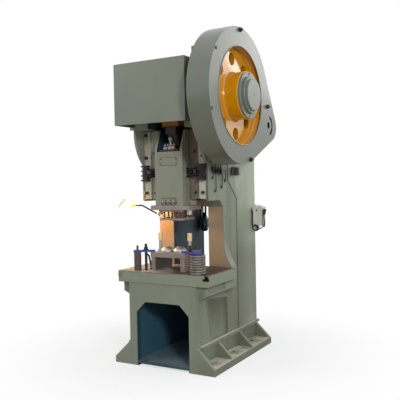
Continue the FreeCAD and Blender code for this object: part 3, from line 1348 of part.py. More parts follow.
def top_cover():
    p = Piece("top_cover")
    wide = s.throat_half + s.base_wall
    p.add("XY", s.head_top, s.head_top + s.sheet, rectangle(
        -wide, wide, s.cheek_front_y + s.hood_tuck * 1.1, s.head_back_y - s.head_corner * 1.1))
    return p


def guard_outline(less=0):
    return belt_loop(s.crank_y, s.crank_z, s.guard_r - less, s.guard_end_y, s.guard_end_z,
                     s.guard_small_r - less)


def guard_drum():
    """Sheet wall and back plate of the belt guard, with its welded brackets."""
    p = Piece("guard_drum")
    t = s.sheet
    p.add("YZ", s.guard_in_x, s.guard_out_x - t, guard_outline())
    p.cut("YZ", s.guard_in_x + t, s.guard_out_x, guard_outline(t))
    p.cut("YZ", s.guard_in_x - s.overlap, s.guard_in_x + t + s.overlap, together(
        circle(s.crank_y, s.crank_z, s.drive_r * 2.1),
        circle(s.motor_y, s.motor_z, s.motor_r * 0.59)))
    # front bracket: an upright plate, an arm back along the cheek, and its spacer
    thick = s.bracket_sheet
    side = s.hood_half + thick / 2
    plate_y = s.cheek_front_y - s.guard_plate_rise - s.side_step
    arm_low, arm_high = s.crank_z + s.arm_rise, s.crank_z + s.arm_rise + s.arm_high
    arm_back = s.cheek_front_y + s.cheek_reach
    p.add("XZ", plate_y, plate_y + thick, rectangle(
        side, s.guard_in_x + s.overlap, s.crank_z - s.arm_rise * 1.11,
        s.head_top + s.guard_plate_rise))
    p.add("YZ", side, side + thick, rectangle(plate_y, arm_back, arm_low, arm_high))
    p.add("YZ", s.frame_half, side + s.overlap, rectangle(
        s.cheek_front_y + s.hood_tuck * 1.2, arm_back, arm_low, arm_high))
    # rear bracket
    rear = s.head_back_y - s.head_corner * 0.87
    low = s.shelf_top - s.arm_rise
    p.add("XZ", rear, rear + thick, rectangle(
        s.frame_half, s.guard_in_x + s.overlap, low, s.shelf_top + thick * 2))
    p.add("YZ", s.frame_half, s.frame_half + thick, rectangle(
        rear, rear + s.head_corner, low, s.shelf_top - thick))
    return p


def guard_face():
    """Flat face of the guard, open over the flywheel, with an airing slot at the motor."""
    p = Piece("guard_face")
    y, z, r = s.motor_y, s.motor_z, s.airing_r
    edge = y + r * 0.29
    p.add("YZ", s.guard_out_x - s.sheet, s.guard_out_x, guard_outline())
    p.cut("YZ", s.guard_out_x - s.sheet - s.overlap, s.guard_out_x + s.overlap, together(
        circle(s.crank_y, s.crank_z, s.guard_opening_r),
        circle(y, z, r * 0.32),
        polygon([(edge, z - r * 0.957, r), (edge, z + r * 0.957), (edge, z + r * 0.67, -r * 0.73),
                 (edge, z - r * 0.67)])))
    return p


def cover_screws():
    """Screws of the guard's face and of the hood."""
    p = Piece("cover_screws")
    size = s.guard_screw
    circle_r = (s.guard_r + s.guard_r * 0.926) / 2
    face = together(*[
        hexagon(s.crank_y + circle_r * y, s.crank_z + circle_r * z, size) for y, z in (
            (-0.017, 1), (0.288, -0.961), (-0.96, -0.275), (-0.811, 0.584), (1, -0.06))])
    p.add("YZ", s.guard_out_x, s.guard_out_x + size * 0.41, face)
    sides = together(*[circle(s.cheek_front_y + s.hood_tuck / 2, s.crank_z + z, size * 0.35)
                       for z in (-s.arm_rise * 1.3, -s.arm_rise * 0.19, s.arm_rise * 0.83)])
    p.add("YZ", s.hood_half, s.hood_half + s.sheet, sides)
    p.add("YZ", -s.hood_half - s.sheet, -s.hood_half, sides)
    return p


# ---------------------------------------------------------------- flywheel and drive
def grooved_rim(radius, end_in, end_out):
    """Points of a rim with three vee grooves, from its outer end to its inner end."""
    slope = (s.belt_top - s.belt_bottom) / 2 / s.belt_depth.value
    deep = s.belt_depth * 1.27
    top = s.belt_top / 2 + s.running_gap * 8
    foot = top - slope * deep.value
    points = [(end_out, radius)]
    for i in (2, 1, 0):
        x = s.belt_first_x + s.belt_pitch * i
        points += [(x + top, radius), (x + foot, radius - deep), (x - foot, radius - deep),
                   (x - top, radius)]
    return points + [(end_in, radius)]


def flywheel():
    """Rim, web with a ring of holes, and a long hub, turned about the crank axis."""
    p = Piece("flywheel", 0, s.crank_y, s.crank_z)
    rim_in = s.wheel_r - s.wheel_rim
    bend = s.web_thick * 0.42
    edge = s.hub_plate * 0.4
    points = [
        (s.wheel_in_x, s.wheel_bore_r), (s.hub_out_x, s.wheel_bore_r),
        (s.hub_out_x, s.hub_r - edge), (s.hub_out_x - edge, s.hub_r),
        (s.web_out_x + bend, s.hub_r, -bend), (s.web_out_x, s.hub_r + bend),
        (s.web_out_x, rim_in - bend, -bend), (s.web_out_x + bend, rim_in),
        (s.wheel_out_x, rim_in)]
    points += grooved_rim(s.wheel_r, s.wheel_in_x, s.wheel_out_x)
    points += [(s.wheel_in_x, rim_in), (s.web_in_x, rim_in), (s.web_in_x, s.hub_r * 0.82),
               (s.wheel_in_x, s.hub_r * 0.82)]
    p.turn("XY", "H_Axis", polygon(points))
    lean = math.radians(5)
    hole = p.cut("YZ", s.web_in_x - s.overlap, s.web_out_x + s.overlap, circle(
        -s.lightening_circle * math.sin(lean), s.lightening_circle * math.cos(lean),
        s.lightening_r))
    p.ring_of(hole, "X_Axis", 8)
    return p


def flywheel_bearings():
    p = Piece("flywheel_bearings", 0, s.crank_y, s.crank_z)
    section = washer(0, 0, s.wheel_bore_r - s.running_gap, s.drive_r + s.running_gap)
    width = s.drive_r * 0.8
    p.add("YZ", s.wheel_in_x + s.overlap, s.wheel_in_x + s.overlap + width, section)
    p.add("YZ", s.hub_out_x - width, s.hub_out_x, section)
    return p


def hub_cover():
    p = Piece("hub_cover", 0, s.crank_y, s.crank_z)
    rim, face = s.hub_r * 0.976, s.hub_out_x + s.hub_plate
    p.add("YZ", s.hub_out_x, face, washer(0, 0, rim, s.drive_r + s.side_gap))
    screw = p.add("YZ", face, face + s.hub_plate / 3, circle(0, rim - s.hub_plate, s.hub_plate / 2))
    p.ring_of(screw, "X_Axis", 6)
    return p


def shaft_end_cap():
    """Retaining disc on the end of the crankshaft, under a turned cap."""
    p = Piece("shaft_end_cap", 0, s.crank_y, s.crank_z)
    start = s.hub_out_x + s.shaft_proud
    step, edge = s.drive_r * 0.34, s.drive_r * 0.05
    end, wide, narrow = start + step * 2, s.drive_r * 2.6, s.drive_r * 2.24
    p.turn("XY", "H_Axis", polygon([
        (start, 0), (end, 0), (end, narrow - edge), (end - edge, narrow), (start + step, narrow),
        (start + step, wide - edge), (start + step - edge, wide), (start, wide)]))
    p.cut("YZ", end - step * 0.6, end + s.overlap, circle(0, 0, s.drive_r * 0.1))
    return p


def brake_drum():
    p = Piece("brake_drum", 0, s.crank_y, s.crank_z)
    inner = -s.brake_in_x
    outer = inner - s.brake_width
    floor = outer + s.brake_width * 0.57
    tip = outer - s.brake_tail * 0.47
    bore = s.drive_r + s.running_gap
    p.turn("XY", "H_Axis", polygon([
        (inner, bore), (inner, s.brake_r), (outer, s.brake_r), (outer, s.brake_r * 0.83),
        (floor, s.brake_r * 0.8), (floor, s.drive_r * 1.6), (tip, s.drive_r * 1.52),
        (tip, bore)]))
    return p


def brake_band():
    """Lined band round the drum, closed by two ears on the frame's anchor."""
    p = Piece("brake_band", 0, s.crank_y, s.crank_z)
    inner = s.brake_r + s.running_gap * 12
    outer = inner + s.band_thick
    middle = -s.brake_in_x - s.brake_width / 2
    wide = s.brake_width * 0.37
    p.add("YZ", middle - wide, middle + wide, washer(0, 0, outer, inner))
    foot, top = -s.brake_r - s.anchor_drop, -s.brake_r - s.band_thick / 2
    near, far = s.band_thick, s.band_thick * 3.3
    p.add("YZ", middle - wide * 0.73, middle + wide * 0.73, together(
        rectangle(-far, -near, foot, top), rectangle(near, far, foot, top)))
    reach = s.anchor_thick
    p.add("XZ", -reach, reach, circle(middle, foot + s.anchor_drop * 0.36, s.band_thick * 0.83))
    p.cut("YZ", middle - s.brake_width, middle + s.brake_width, rectangle(
        -near * 0.83, near * 0.83, -outer - s.overlap, -s.brake_r + s.band_thick / 2))
    return p


def motor_base():
    p = Piece("motor_base", 0, s.motor_y, s.shelf_top)
    top = s.motor_rise - s.motor_foot
    wide = s.motor_r * 1.14
    p.add("XY", 0, top, rectangle(s.motor_in_x - s.motor_length * 0.714,
                                  s.motor_in_x - s.motor_length * 0.143, -wide, wide))
    return p


def motor_body():
    """Ribbed stator on its feet, with the terminal box and the fan's cowl."""
    p = Piece("motor_body", 0, s.motor_y, s.motor_z)
    r, skin, lap = s.motor_r, s.sheet, s.overlap
    near, far = s.motor_in_x, s.motor_out_x
    shield, cowl = near - s.motor_flange, far + s.motor_cowl
    p.add("YZ", cowl, shield, circle(0, 0, r))
    p.add("YZ", shield, near, circle(0, 0, r * 1.107))
    p.add("YZ", far, cowl, circle(0, 0, r * 1.09))
    p.cut("YZ", far + skin, far + s.motor_cowl * 0.8, circle(0, 0, r * 1.09 - skin))
    rib = p.add("YZ", cowl, shield, rectangle(-r * 0.018, r * 0.018, r * 0.98, r * 1.116))
    p.ring_of(rib, "X_Axis", 28)
    foot = -s.motor_foot
    width = s.motor_length * 0.11
    for x in (near - s.motor_length * 0.69, near - s.motor_length * 0.276):
        p.add("YZ", x, x + width, rectangle(-r * 0.95, r * 0.95, foot, foot + r * 0.18))
        p.add("YZ", x, x + width, rectangle(-r * 0.625, r * 0.625, foot + r * 0.17, -r * 0.54))
    p.add("XY", r * 0.946, r * 1.554, rectangle(
        near - s.motor_length / 2, near - s.motor_length / 4, -r * 0.464, r * 0.464))
    # shaft bore, and the cowl's air slots
    p.cut("YZ", shield - s.motor_flange * 0.7, near + lap,
          circle(0, 0, s.motor_shaft_r + s.running_gap))
    places = (-0.536, -0.179, 0.179, 0.536)
    slots = [circle(r * y, r * z, r * 0.08) for y in places for z in places]
    p.cut("YZ", far - lap, far + skin + lap, together(*slots))
    return p


def motor_shaft():
    p = Piece("motor_shaft", 0, s.motor_y, s.motor_z)
    p.add("YZ", s.motor_in_x - s.motor_flange * 1.6, s.wheel_out_x + s.sheet,
          circle(0, 0, s.motor_shaft_r))
    return p


def motor_pulley():
    p = Piece("motor_pulley", 0, s.motor_y, s.motor_z)
    bore = s.motor_shaft_r + s.running_gap
    low, high = s.belt_first_x - s.pulley_edge, s.belt_first_x + s.belt_pitch * 2 + s.pulley_edge
    hub, end = s.motor_shaft_r * 1.9, high + s.motor_shaft_r * 1.26
    points = [(low, bore), (end, bore), (end, hub), (high, hub)]
    p.turn("XY", "H_Axis", polygon(points + grooved_rim(s.pulley_r, low, high)))
    return p


def drive_belts():
    """Three vee belts, each a closed loop round the flywheel and the motor pulley."""
    p = Piece("drive_belts", 0, s.crank_y, s.crank_z)
    big, small = s.wheel_r - s.belt_drop, s.pulley_r - s.belt_drop
    end_y, end_z = s.motor_y - s.crank_y, s.motor_z - s.crank_z
    top, foot = s.belt_top / 2, s.belt_bottom / 2
    section = polygon([
        (s.belt_first_x - top, -big), (s.belt_first_x + top, -big),
        (s.belt_first_x + foot, s.belt_depth - big), (s.belt_first_x - foot, s.belt_depth - big)])
    belt = p.sweep("YZ", s.belt_first_x, open_loop(big, end_y, end_z, small), "XY", 0, section)
    p.row_of(belt, "X_Axis", s.belt_pitch, 3)
    return p


def open_loop(big, y, z, small):
    """Loop round two circles that starts at the front of the big one."""
    def draw(sketch):
        axis = FreeCAD.Vector(0, 0, 1)
        origin, end = vector(0, 0), vector(y, z)
        lean = math.atan2(end.y, end.x)
        half = math.acos((big.value - small.value) / end.Length)
        front, upper, lower = math.pi, lean + half, lean - half + 2 * math.pi
        down = FreeCAD.Vector(math.cos(lower), math.sin(lower), 0)
        up = FreeCAD.Vector(math.cos(upper), math.sin(upper), 0)
        wheel = Part.Circle(origin, axis, big.value)
        pulley = Part.Circle(end, axis, small.value)
        edges = (
            Part.ArcOfCircle(wheel, front, lower),
            Part.LineSegment(origin + down * big.value, end + down * small.value),
            Part.ArcOfCircle(pulley, lower - 2 * math.pi, upper),
            Part.LineSegment(end + up * small.value, origin + up * big.value),
            Part.ArcOfCircle(wheel, upper, front))
        for edge in edges:
            sketch.addGeometry(edge, False)
        for i in range(4):
            sketch.addConstraint(Sketcher.Constraint("Tangent", i, 2, i + 1, 1))
        sketch.addConstraint(Sketcher.Constraint("Coincident", 4, 2, 0, 1))
        pin_point(sketch, 0, 3, 0, 0)
        pin_point(sketch, 2, 3, y, z)
        pin_point(sketch, 0, 1, -big, 0)
        fix_radius(sketch, 2, small)
        sketch.addConstraint(Sketcher.Constraint("Coincident", 4, 3, 0, 3))
    return draw


# ---------------------------------------------------------------- fittings
def lubricator():
    """Tank with its lid, side bars and the pump's boss underneath."""
    p = Piece("lubricator", s.oiler_x, s.oiler_y, s.oiler_base)
    wide, deep, high = s.oiler_width / 2, s.oiler_depth / 2, s.oiler_rise
    lid, lip = s.oiler_lid, s.sheet
    wall = s.frame_half - s.side_step - s.oiler_x
    p.add("XY", 0, high - lid, rectangle(lip - wide, wide, -deep, deep))
    p.add("XY", high - lid, high, rectangle(-wide, wide + lip, -deep - lip, deep + lip))
    for low in (high * 0.19, high * 0.747):
        p.add("XY", low, low + lid * 1.14, rectangle(wall, lip * 1.3 - wide, -deep * 0.77, deep * 0.77))
    p.add("XZ", -deep, -deep + s.oiler_depth * 0.43, circle(-s.lever_in, -s.lever_drop, s.pump_r))
    p.cut("XZ", -deep - s.overlap, -deep + s.oiler_depth * 0.31, circle(
        -s.lever_in, -s.lever_drop, s.lever_r * 1.4 + s.running_gap))
    return p


def lubricator_lever():
    """Hub and pin of the hand lever, with its rod bent up beside the tank."""
    r = s.lever_r.value
    near = s.oiler_y.value - s.oiler_depth.value / 2
    reach, rise = s.lever_reach.value, s.lever_rise.value
    y = near - r * 2
    rod = tube([(0, y, 0), (reach, y, -r * 1.2), (reach + r * 4.4, y, rise)], r * 5.2, r)
    start, along = FreeCAD.Vector(0, near - r * 3.6, 0), FreeCAD.Vector(0, 1, 0)
    hub = Part.makeCylinder(r * 3, r * 3.2, start, along)
    pin = Part.makeCylinder(r * 1.4, r * 3.6 + s.oiler_depth.value * 0.28, start, along)
    return free_form("lubricator_lever", rod.fuse([hub, pin]), (s.lever_x.value, 0, s.lever_z.value))


def lever_grip():
    r = s.lever_r.value
    y = s.oiler_y.value - s.oiler_depth.value / 2 - r * 2
    rise, reach = s.lever_rise.value, s.lever_reach.value
    lean = FreeCAD.Vector(r * 4.4, 0, rise + r * 1.2).normalize()
    foot = FreeCAD.Vector(reach + r * 4.4, y, rise) - lean * r * 1.2
    grip = Part.makeCone(r * 1.7, r * 2.3, s.grip_length.value, foot, lean)
    hole = Part.makeCylinder(r + s.running_gap.value, r * 1.4, foot, lean)
    return free_form("lever_grip", grip.cut(hole), (s.lever_x.value, 0, s.lever_z.value))


def oil_distributor():
    """Manifold block on the right cheek, with its unions."""
    p = Piece("oil_distributor", s.frame_half, s.vee_y, s.nose_start)
    pitch, high, thick = s.pipe_pitch, s.manifold_high, s.manifold_thick
    size = s.union_size
    p.add("YZ", 0, thick, rectangle(-pitch / 2, pitch * 3.7, 0, high))
    p.add("YZ", thick, thick + size * 0.7, circle(0, high / 2, size * 0.86))
    unions = [hexagon(s.pipe_bend, pitch * place, size) for place in range(4)]
    p.add("XY", -size, 0, together(*unions))
    return p


def oil_pipes():
    """Four pipes from the manifold to the guides and the head."""
    near = s.frame_half.value
    x = near + s.pipe_bend.value
    top = s.nose_start.value - s.union_size.value
    r, pitch, start = s.pipe_r.value, s.pipe_pitch.value, s.vee_y.value
    y = [start + pitch * place for place in (0, 1, 2, 3, 3.5, 5)]
    runs = [
        [(x, y[0], top), (x, y[0], top - pitch * 2.3), (near, y[0], top - pitch * 2.3)],
        [(x, y[1], top), (x, y[1], top - pitch * 4.7), (near, y[1], top - pitch * 4.7)],
        [(x, y[2], top), (x, y[2], top - pitch * 1.6), (x, y[4], top - pitch * 1.6),
         (x, y[4], top - pitch * 4), (near, y[4], top - pitch * 4)],
        [(x, y[3], top), (x, y[3], top - pitch * 0.8), (x, y[5], top - pitch * 0.8),
         (x, y[5], top - pitch * 2.8), (near, y[5], top - pitch * 2.8)]]
    bend = (s.pipe_bend - s.running_gap).value
    shapes = []
    for run in runs:
        collar = Part.makeCylinder(r * 2.25, r * 1.75, FreeCAD.Vector(*run[-1]),
                                   FreeCAD.Vector(1, 0, 0))
        shapes.append(tube(run, bend, r).fuse(collar))
    return free_form("oil_pipes", Part.makeCompound(shapes))


def air_unit():
    """Filter, regulator and oiler on the left web, seen through the open back."""
    p = Piece("air_unit", -s.web_half, s.air_y, s.air_z)
    r = s.air_bowl_r
    middle, half = r * 1.56, r * 1.11
    p.add("XY", -half, half, rectangle(0, r * 2.8, -r * 1.26, r * 1.26))
    p.add("XY", -half - s.air_bowl, -half, circle(middle, 0, r))
    p.add("XY", -half - s.air_bowl - r * 0.67, -half - s.air_bowl, circle(middle, 0, r * 0.6))
    p.add("XY", half, half + r * 1.33, circle(middle, 0, r * 0.89))
    p.add("XZ", -r * 1.56, -r * 1.26, circle(middle, 0, r * 0.74))
    return p


LAMP_TILT = FreeCAD.Rotation(FreeCAD.Vector(0, 1, 0), -30)
BULB_LEAN = FreeCAD.Vector(-0.94, 0, -0.34).normalize()


def lamp_spot(out=0, along=0, up=0):
    """A point given from the dome's centre, in lengths of the dome's radius."""
    r = s.lamp_r.value
    return FreeCAD.Vector(s.lamp_x.value + out * r, s.lamp_y.value + along * r,
                          s.lamp_z.value + up * r)


def lamp_arm():
    """Wall flange, bent neck, bulb holder and the stem that carries the shade."""
    r, dome = s.lamp_neck_r.value, s.lamp_r.value
    wall = -s.frame_half.value
    foot_y = s.throat_y.value + r * 6
    foot_z = s.head_bottom.value - r * 24
    axis = LAMP_TILT.multVec(FreeCAD.Vector(0, 0, 1))
    flange = Part.makeCylinder(r * 4.3, r * 1.7, FreeCAD.Vector(wall - r * 1.7, foot_y, foot_z),
                               FreeCAD.Vector(1, 0, 0))
    tip = lamp_spot(0.56, 0, 0.42)
    turn = lamp_spot(1.24, 0.30, 0.44)
    neck = tube([(wall - r, foot_y, foot_z), (wall - r * 4, foot_y - r * 2, foot_z + r * 4),
                 (turn.x, turn.y, turn.z), tuple(tip)], r * 3, r)
    holder = Part.makeCylinder(dome * 0.15, dome * 0.4, lamp_spot(0.58, 0, 0.43), BULB_LEAN)
    bar = tube([tuple(lamp_spot(0.38, 0, 0.44)), tuple(lamp_spot(0.02, 0, 0.62)),
                tuple(lamp_spot(-0.33, 0, 0.6))], r * 2, r * 0.6)
    stem = Part.makeCylinder(r, dome * 0.55, lamp_spot() + axis * dome * 0.62, axis)
    return free_form("lamp_arm", neck.fuse([flange, holder, bar, stem]))


def lamp_piece(label, spot, turn):
    """A turned part of the lamp, moved and tilted as a whole."""
    p = Piece(label)
    for axis in "xyz":
        p.body.setExpression("Placement.Base.%s" % axis, None)
    p.body.Placement = FreeCAD.Placement(spot, turn)
    return p


def lamp_shade():
    p = lamp_piece("lamp_shade", lamp_spot(), LAMP_TILT)
    r, t = s.lamp_r, s.lamp_sheet
    low, out = math.sin(math.radians(6)), math.cos(math.radians(6))
    hole = s.lamp_neck_r * 1.06
    top = Size(math.sqrt(r.value ** 2 - hole.value ** 2),
               "sqrt((%s)^2 - (%s)^2)" % (r.text, hole.text))
    outer = r + t
    peak = Size(math.sqrt(outer.value ** 2 - hole.value ** 2),
                "sqrt((%s)^2 - (%s)^2)" % (outer.text, hole.text))
    p.turn("XZ", "V_Axis", polygon([
        (hole, top), (hole, peak, -outer), (outer * out, outer * low), (r * out, r * low, r)]))
    return p


def lamp_bulb():
    end = lamp_spot(0.58, 0, 0.43) + BULB_LEAN * s.lamp_r.value * 0.4
    p = lamp_piece("lamp_bulb", end, FreeCAD.Rotation(FreeCAD.Vector(0, 0, 1), BULB_LEAN))
    r = s.bulb_r
    p.turn("XZ", "V_Axis", polygon([
        (0, 0), (r * 0.5, 0), (r * 0.8, r * 0.73, r), (0, r * 2.33)]))
    return p


MAKERS = (
    frame, bolster, gib_clamps, gib_screws, hood, top_cover, guard_drum, guard_face, cover_screws,
    crank_bushes, crankshaft, shaft_end_cap, brake_drum, brake_band, flywheel,
    flywheel_bearings, hub_cover, motor_base, motor_body, motor_shaft, motor_pulley,
    drive_belts, rod_shell, connecting_rod, rod_cap, rod_bolts, adjusting_screw, lock_nut,
    ball_cap, ball_seat, ram, shank_clamp, ram_bolts, name_plate, ram_plate, upper_die,
    guide_bushes, stripper_studs, stripper_plate, die_rails, lower_die_plate, forming_domes,
    guide_posts, ball_sleeves, strap_clamps, clamp_studs, heel_post, heel_rings, bent_rod,
    lubricator, lubricator_lever, lever_grip, oil_distributor, oil_pipes, air_unit, lamp_arm,
    lamp_shade, lamp_bulb)


def main():
    gib("gib_left", -1)
    gib("gib_right", 1)
    for maker in MAKERS:
        maker()
    doc.recompute()
    faulty = [o.Label for o in doc.Objects if "Invalid" in o.State or "Error" in o.State]
    empty = [b.Label for b in PIECES if b.Shape.isNull() or not b.Shape.isValid()]
    if faulty or empty:
        raise RuntimeError("failed: %s; empty or bad: %s" % (faulty, empty))
    os.makedirs("parts", exist_ok=True)
    for body in PIECES:
        shape = body.Shape
        shape.exportStep("parts/%s.step" % body.Label)
        print("%-18s %3d solids %9.0f cm3" % (body.Label, len(shape.Solids), shape.Volume / 1000))


main()
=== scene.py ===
# %% [markdown]
# # Dressing a mechanical stamping press
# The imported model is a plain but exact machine. This notebook rounds its castings, adds the
# screws, threads, welds and pipes that a solid model leaves out, and paints everything with
# materials made of nodes. All lengths are metres, in the model's own frame: X runs across
# the machine towards the flywheel, Y from the front to the back, and Z up from the floor.

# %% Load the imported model
import json
import math
from contextlib import contextmanager

import bmesh
import bpy
from mathutils import Matrix, Vector

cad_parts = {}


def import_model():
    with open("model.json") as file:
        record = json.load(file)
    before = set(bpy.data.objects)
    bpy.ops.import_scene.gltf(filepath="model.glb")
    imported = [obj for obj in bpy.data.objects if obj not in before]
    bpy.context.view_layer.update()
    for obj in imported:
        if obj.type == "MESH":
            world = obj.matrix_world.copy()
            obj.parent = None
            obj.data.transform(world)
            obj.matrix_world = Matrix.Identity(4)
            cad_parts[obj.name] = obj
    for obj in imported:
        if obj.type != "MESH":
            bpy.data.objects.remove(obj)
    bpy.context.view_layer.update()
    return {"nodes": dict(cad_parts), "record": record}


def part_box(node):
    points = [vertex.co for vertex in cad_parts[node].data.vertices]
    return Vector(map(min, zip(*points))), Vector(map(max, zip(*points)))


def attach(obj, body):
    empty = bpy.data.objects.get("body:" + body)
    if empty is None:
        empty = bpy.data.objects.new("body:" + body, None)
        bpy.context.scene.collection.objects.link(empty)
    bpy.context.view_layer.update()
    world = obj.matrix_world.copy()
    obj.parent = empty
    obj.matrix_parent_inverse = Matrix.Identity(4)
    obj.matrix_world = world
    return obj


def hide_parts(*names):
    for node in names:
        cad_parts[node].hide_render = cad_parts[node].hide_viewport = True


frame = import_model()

record = frame["record"]
slot_of = {part["node"]: part["material_slot"] for part in record["subparts"]}
joint_of = {joint["name"]: joint for joint in record["behaviour"]["joints"]}
body_of = {node: body for body, nodes in record["behaviour"]["bodies"].items() for node in nodes}

# %% [markdown]
# ## The camera
# The photograph was taken from the right of the machine, at chest height. Its lens and place
# were worked out from edges whose real lengths are known, so the camera is written with
# those figures: where the eye stands, how far it turns and tilts, and how many pixels wide
# a thing looks that is as wide as it is far away.

# %% Camera
SENSOR, PICTURE, LENS_PIXELS = 36.0, 400, 597.8
EYE = Vector((2.390, -4.138, 1.350))
TURN, NOD, ROLL = math.radians(29.44), math.radians(-1.53), math.radians(-1.10)


def placed(name, data):
    """An object that shows some data, linked into the scene."""
    thing = bpy.data.objects.new(name, data)
    bpy.context.scene.collection.objects.link(thing)
    return thing


camera_data = bpy.data.cameras.new("camera")
camera_data.sensor_fit = "HORIZONTAL"
camera_data.sensor_width = SENSOR
camera_data.lens = LENS_PIXELS / PICTURE * SENSOR
camera = placed("camera", camera_data)
camera.location = EYE
camera.rotation_euler = (
    Matrix.Rotation(TURN, 3, "Z")
    @ Matrix.Rotation(math.radians(90) + NOD, 3, "X")
    @ Matrix.Rotation(ROLL, 3, "Z")).to_euler()
bpy.context.scene.camera = camera
bpy.context.scene.view_settings.view_transform = "Standard"
print("lens %.1f mm" % camera_data.lens)

# %% [markdown]
# ## A small language for node trees
# Materials and Geometry Nodes are both trees of nodes. Written out in full, the sums in them
# take many lines, so one small class wraps a socket and lets Python's own operators add the
# Math nodes. Every other node comes from one method, which sets the node's settings first
# and its sockets after, because some settings change which sockets there are.


# %% Sockets that can be added and multiplied
class Value:
    """One number, colour, vector or shape that a node gives."""

    def __init__(self, tree, socket):
        self.tree, self.socket = tree, socket

    def math(self, operation, first, second=None):
        pair = [first] if second is None else [first, second]
        return self.tree.node("ShaderNodeMath", {"operation": operation}, dict(enumerate(pair)))

    def __add__(self, other): return self.math("ADD", self, other)
    def __radd__(self, other): return self.math("ADD", other, self)
    def __sub__(self, other): return self.math("SUBTRACT", self, other)
    def __rsub__(self, other): return self.math("SUBTRACT", other, self)
    def __mul__(self, other): return self.math("MULTIPLY", self, other)
    def __rmul__(self, other): return self.math("MULTIPLY", other, self)
    def __truediv__(self, other): return self.math("DIVIDE", self, other)
    def __lt__(self, other): return self.math("LESS_THAN", self, other)
    def __gt__(self, other): return self.math("GREATER_THAN", self, other)
    def size(self): return self.math("ABSOLUTE", self)
    def most(self, other): return self.math("MAXIMUM", self, other)


class Tree:
    """A node tree while it is being laid."""

    def __init__(self, nodes):
        self.tree = nodes

    def node(self, kind, settings=None, inputs=None, output=0):
        made = self.tree.nodes.new(kind)
        for name, value in (settings or {}).items():
            setattr(made, name, value)
        for key, value in (inputs or {}).items():
            for single in value if isinstance(value, list) else [value]:
                if isinstance(single, Value):
                    self.tree.links.new(single.socket, made.inputs[key])
                else:
                    made.inputs[key].default_value = single
        return Value(self, made.outputs[output] if made.outputs else None)


class Finish(Tree):
    """A material, with the few patterns that all the finishes use."""

    def __init__(self, name):
        self.material = bpy.data.materials.new(name)
        self.material.use_nodes = True
        super().__init__(self.material.node_tree)
        self.tree.nodes.clear()
        self.where = self.node("ShaderNodeTexCoord", output="Object")
        parts = self.node("ShaderNodeSeparateXYZ", inputs={0: self.where}).socket.node
        self.x, self.y, self.z = (Value(self, out) for out in parts.outputs)

    def noise(self, scale, detail=4.0, stretch=(1, 1, 1), rough=0.55):
        """Cloudy pattern from 0 to 1; scale is in features per metre."""
        spot = self.node("ShaderNodeMapping", inputs={0: self.where, "Scale": stretch})
        return self.node("ShaderNodeTexNoise", inputs={
            "Vector": spot, "Scale": scale, "Detail": detail, "Roughness": rough})

    def span(self, value, low, high):
        """Straightens a stretch of a value to 0..1, with soft ends."""
        return self.node("ShaderNodeMapRange", {"interpolation_type": "SMOOTHSTEP"}, {
            "Value": value, "From Min": low, "From Max": high})

    def mix(self, factor, first, second):
        """The first colour where the factor is 0, the second where it is 1."""
        pair = {0: factor, 6: (*first, 1) if isinstance(first, tuple) else first,
                7: (*second, 1) if isinstance(second, tuple) else second}
        return self.node("ShaderNodeMix", {"data_type": "RGBA"}, pair, 2)

    def coats(self, shade, *coats):
        """Lays coats over a shade, each a mask and its colour, the last one on top."""
        for mask, tint in coats:
            shade = self.mix(mask, shade, tint)
        return shade

    def vector(self, operation, *pair):
        """The number that one or two vectors give."""
        return self.node("ShaderNodeVectorMath", {"operation": operation},
                         dict(enumerate(pair)), "Value")

    def facing(self, axis):
        """How far a surface faces along an axis, from -1 to 1."""
        normal = self.node("ShaderNodeNewGeometry", output="Normal")
        return self.vector("DOT_PRODUCT", normal, axis)

    def rounded(self, width):
        """The surface's direction as if its edges were rounded to a width."""
        return self.node("ShaderNodeBevel", {"samples": 4}, {"Radius": width})

    def edges(self, width):
        """Near 1 along sharp edges, 0 on flats."""
        return self.span(1 - self.facing(self.rounded(width)), 0.004, 0.10)

    def done(self, colour, rough, metal=0.0, height=None, depth=0.001, round_=0.0, **more):
        """Closes the tree with a principled surface; height is bumped by depth metres."""
        inputs = {"Base Color": (*colour, 1) if isinstance(colour, tuple) else colour,
                  "Roughness": rough, "Metallic": metal, **more}
        if height is not None:
            bump = {"Height": height, "Distance": depth, "Strength": 1.0}
            if round_:
                bump["Normal"] = self.rounded(round_)
            inputs["Normal"] = self.node("ShaderNodeBump", inputs=bump)
        surface = self.node("ShaderNodeBsdfPrincipled", inputs=inputs)
        self.node("ShaderNodeOutputMaterial", inputs={"Surface": surface})
        print("%-14s %3d nodes" % (self.material.name, len(self.tree.nodes)))
        return self.material


def display(red, green, blue):
    """A colour given as it looks on a screen, 0 to 255, as the linear light that nodes use."""
    def linear(level):
        level /= 255
        return level / 12.92 if level < 0.04045 else ((level + 0.055) / 1.055) ** 2.4
    return tuple(linear(level) for level in (red, green, blue))


def lighter(tint, by):
    """A colour with more light in it, or with less where by is under 1."""
    return tuple(min(1.0, part * by) for part in tint)


# %% [markdown]
# ## Paint
# The castings were filled, rubbed down and sprayed, so their paint is smooth with a slight
# waviness, a little darker where oil runs and hands touch, and worn through on the
# corners. The edge wear is found by comparing the surface's own direction with the one that
# a rounded edge would have, which needs no unwrapped texture.


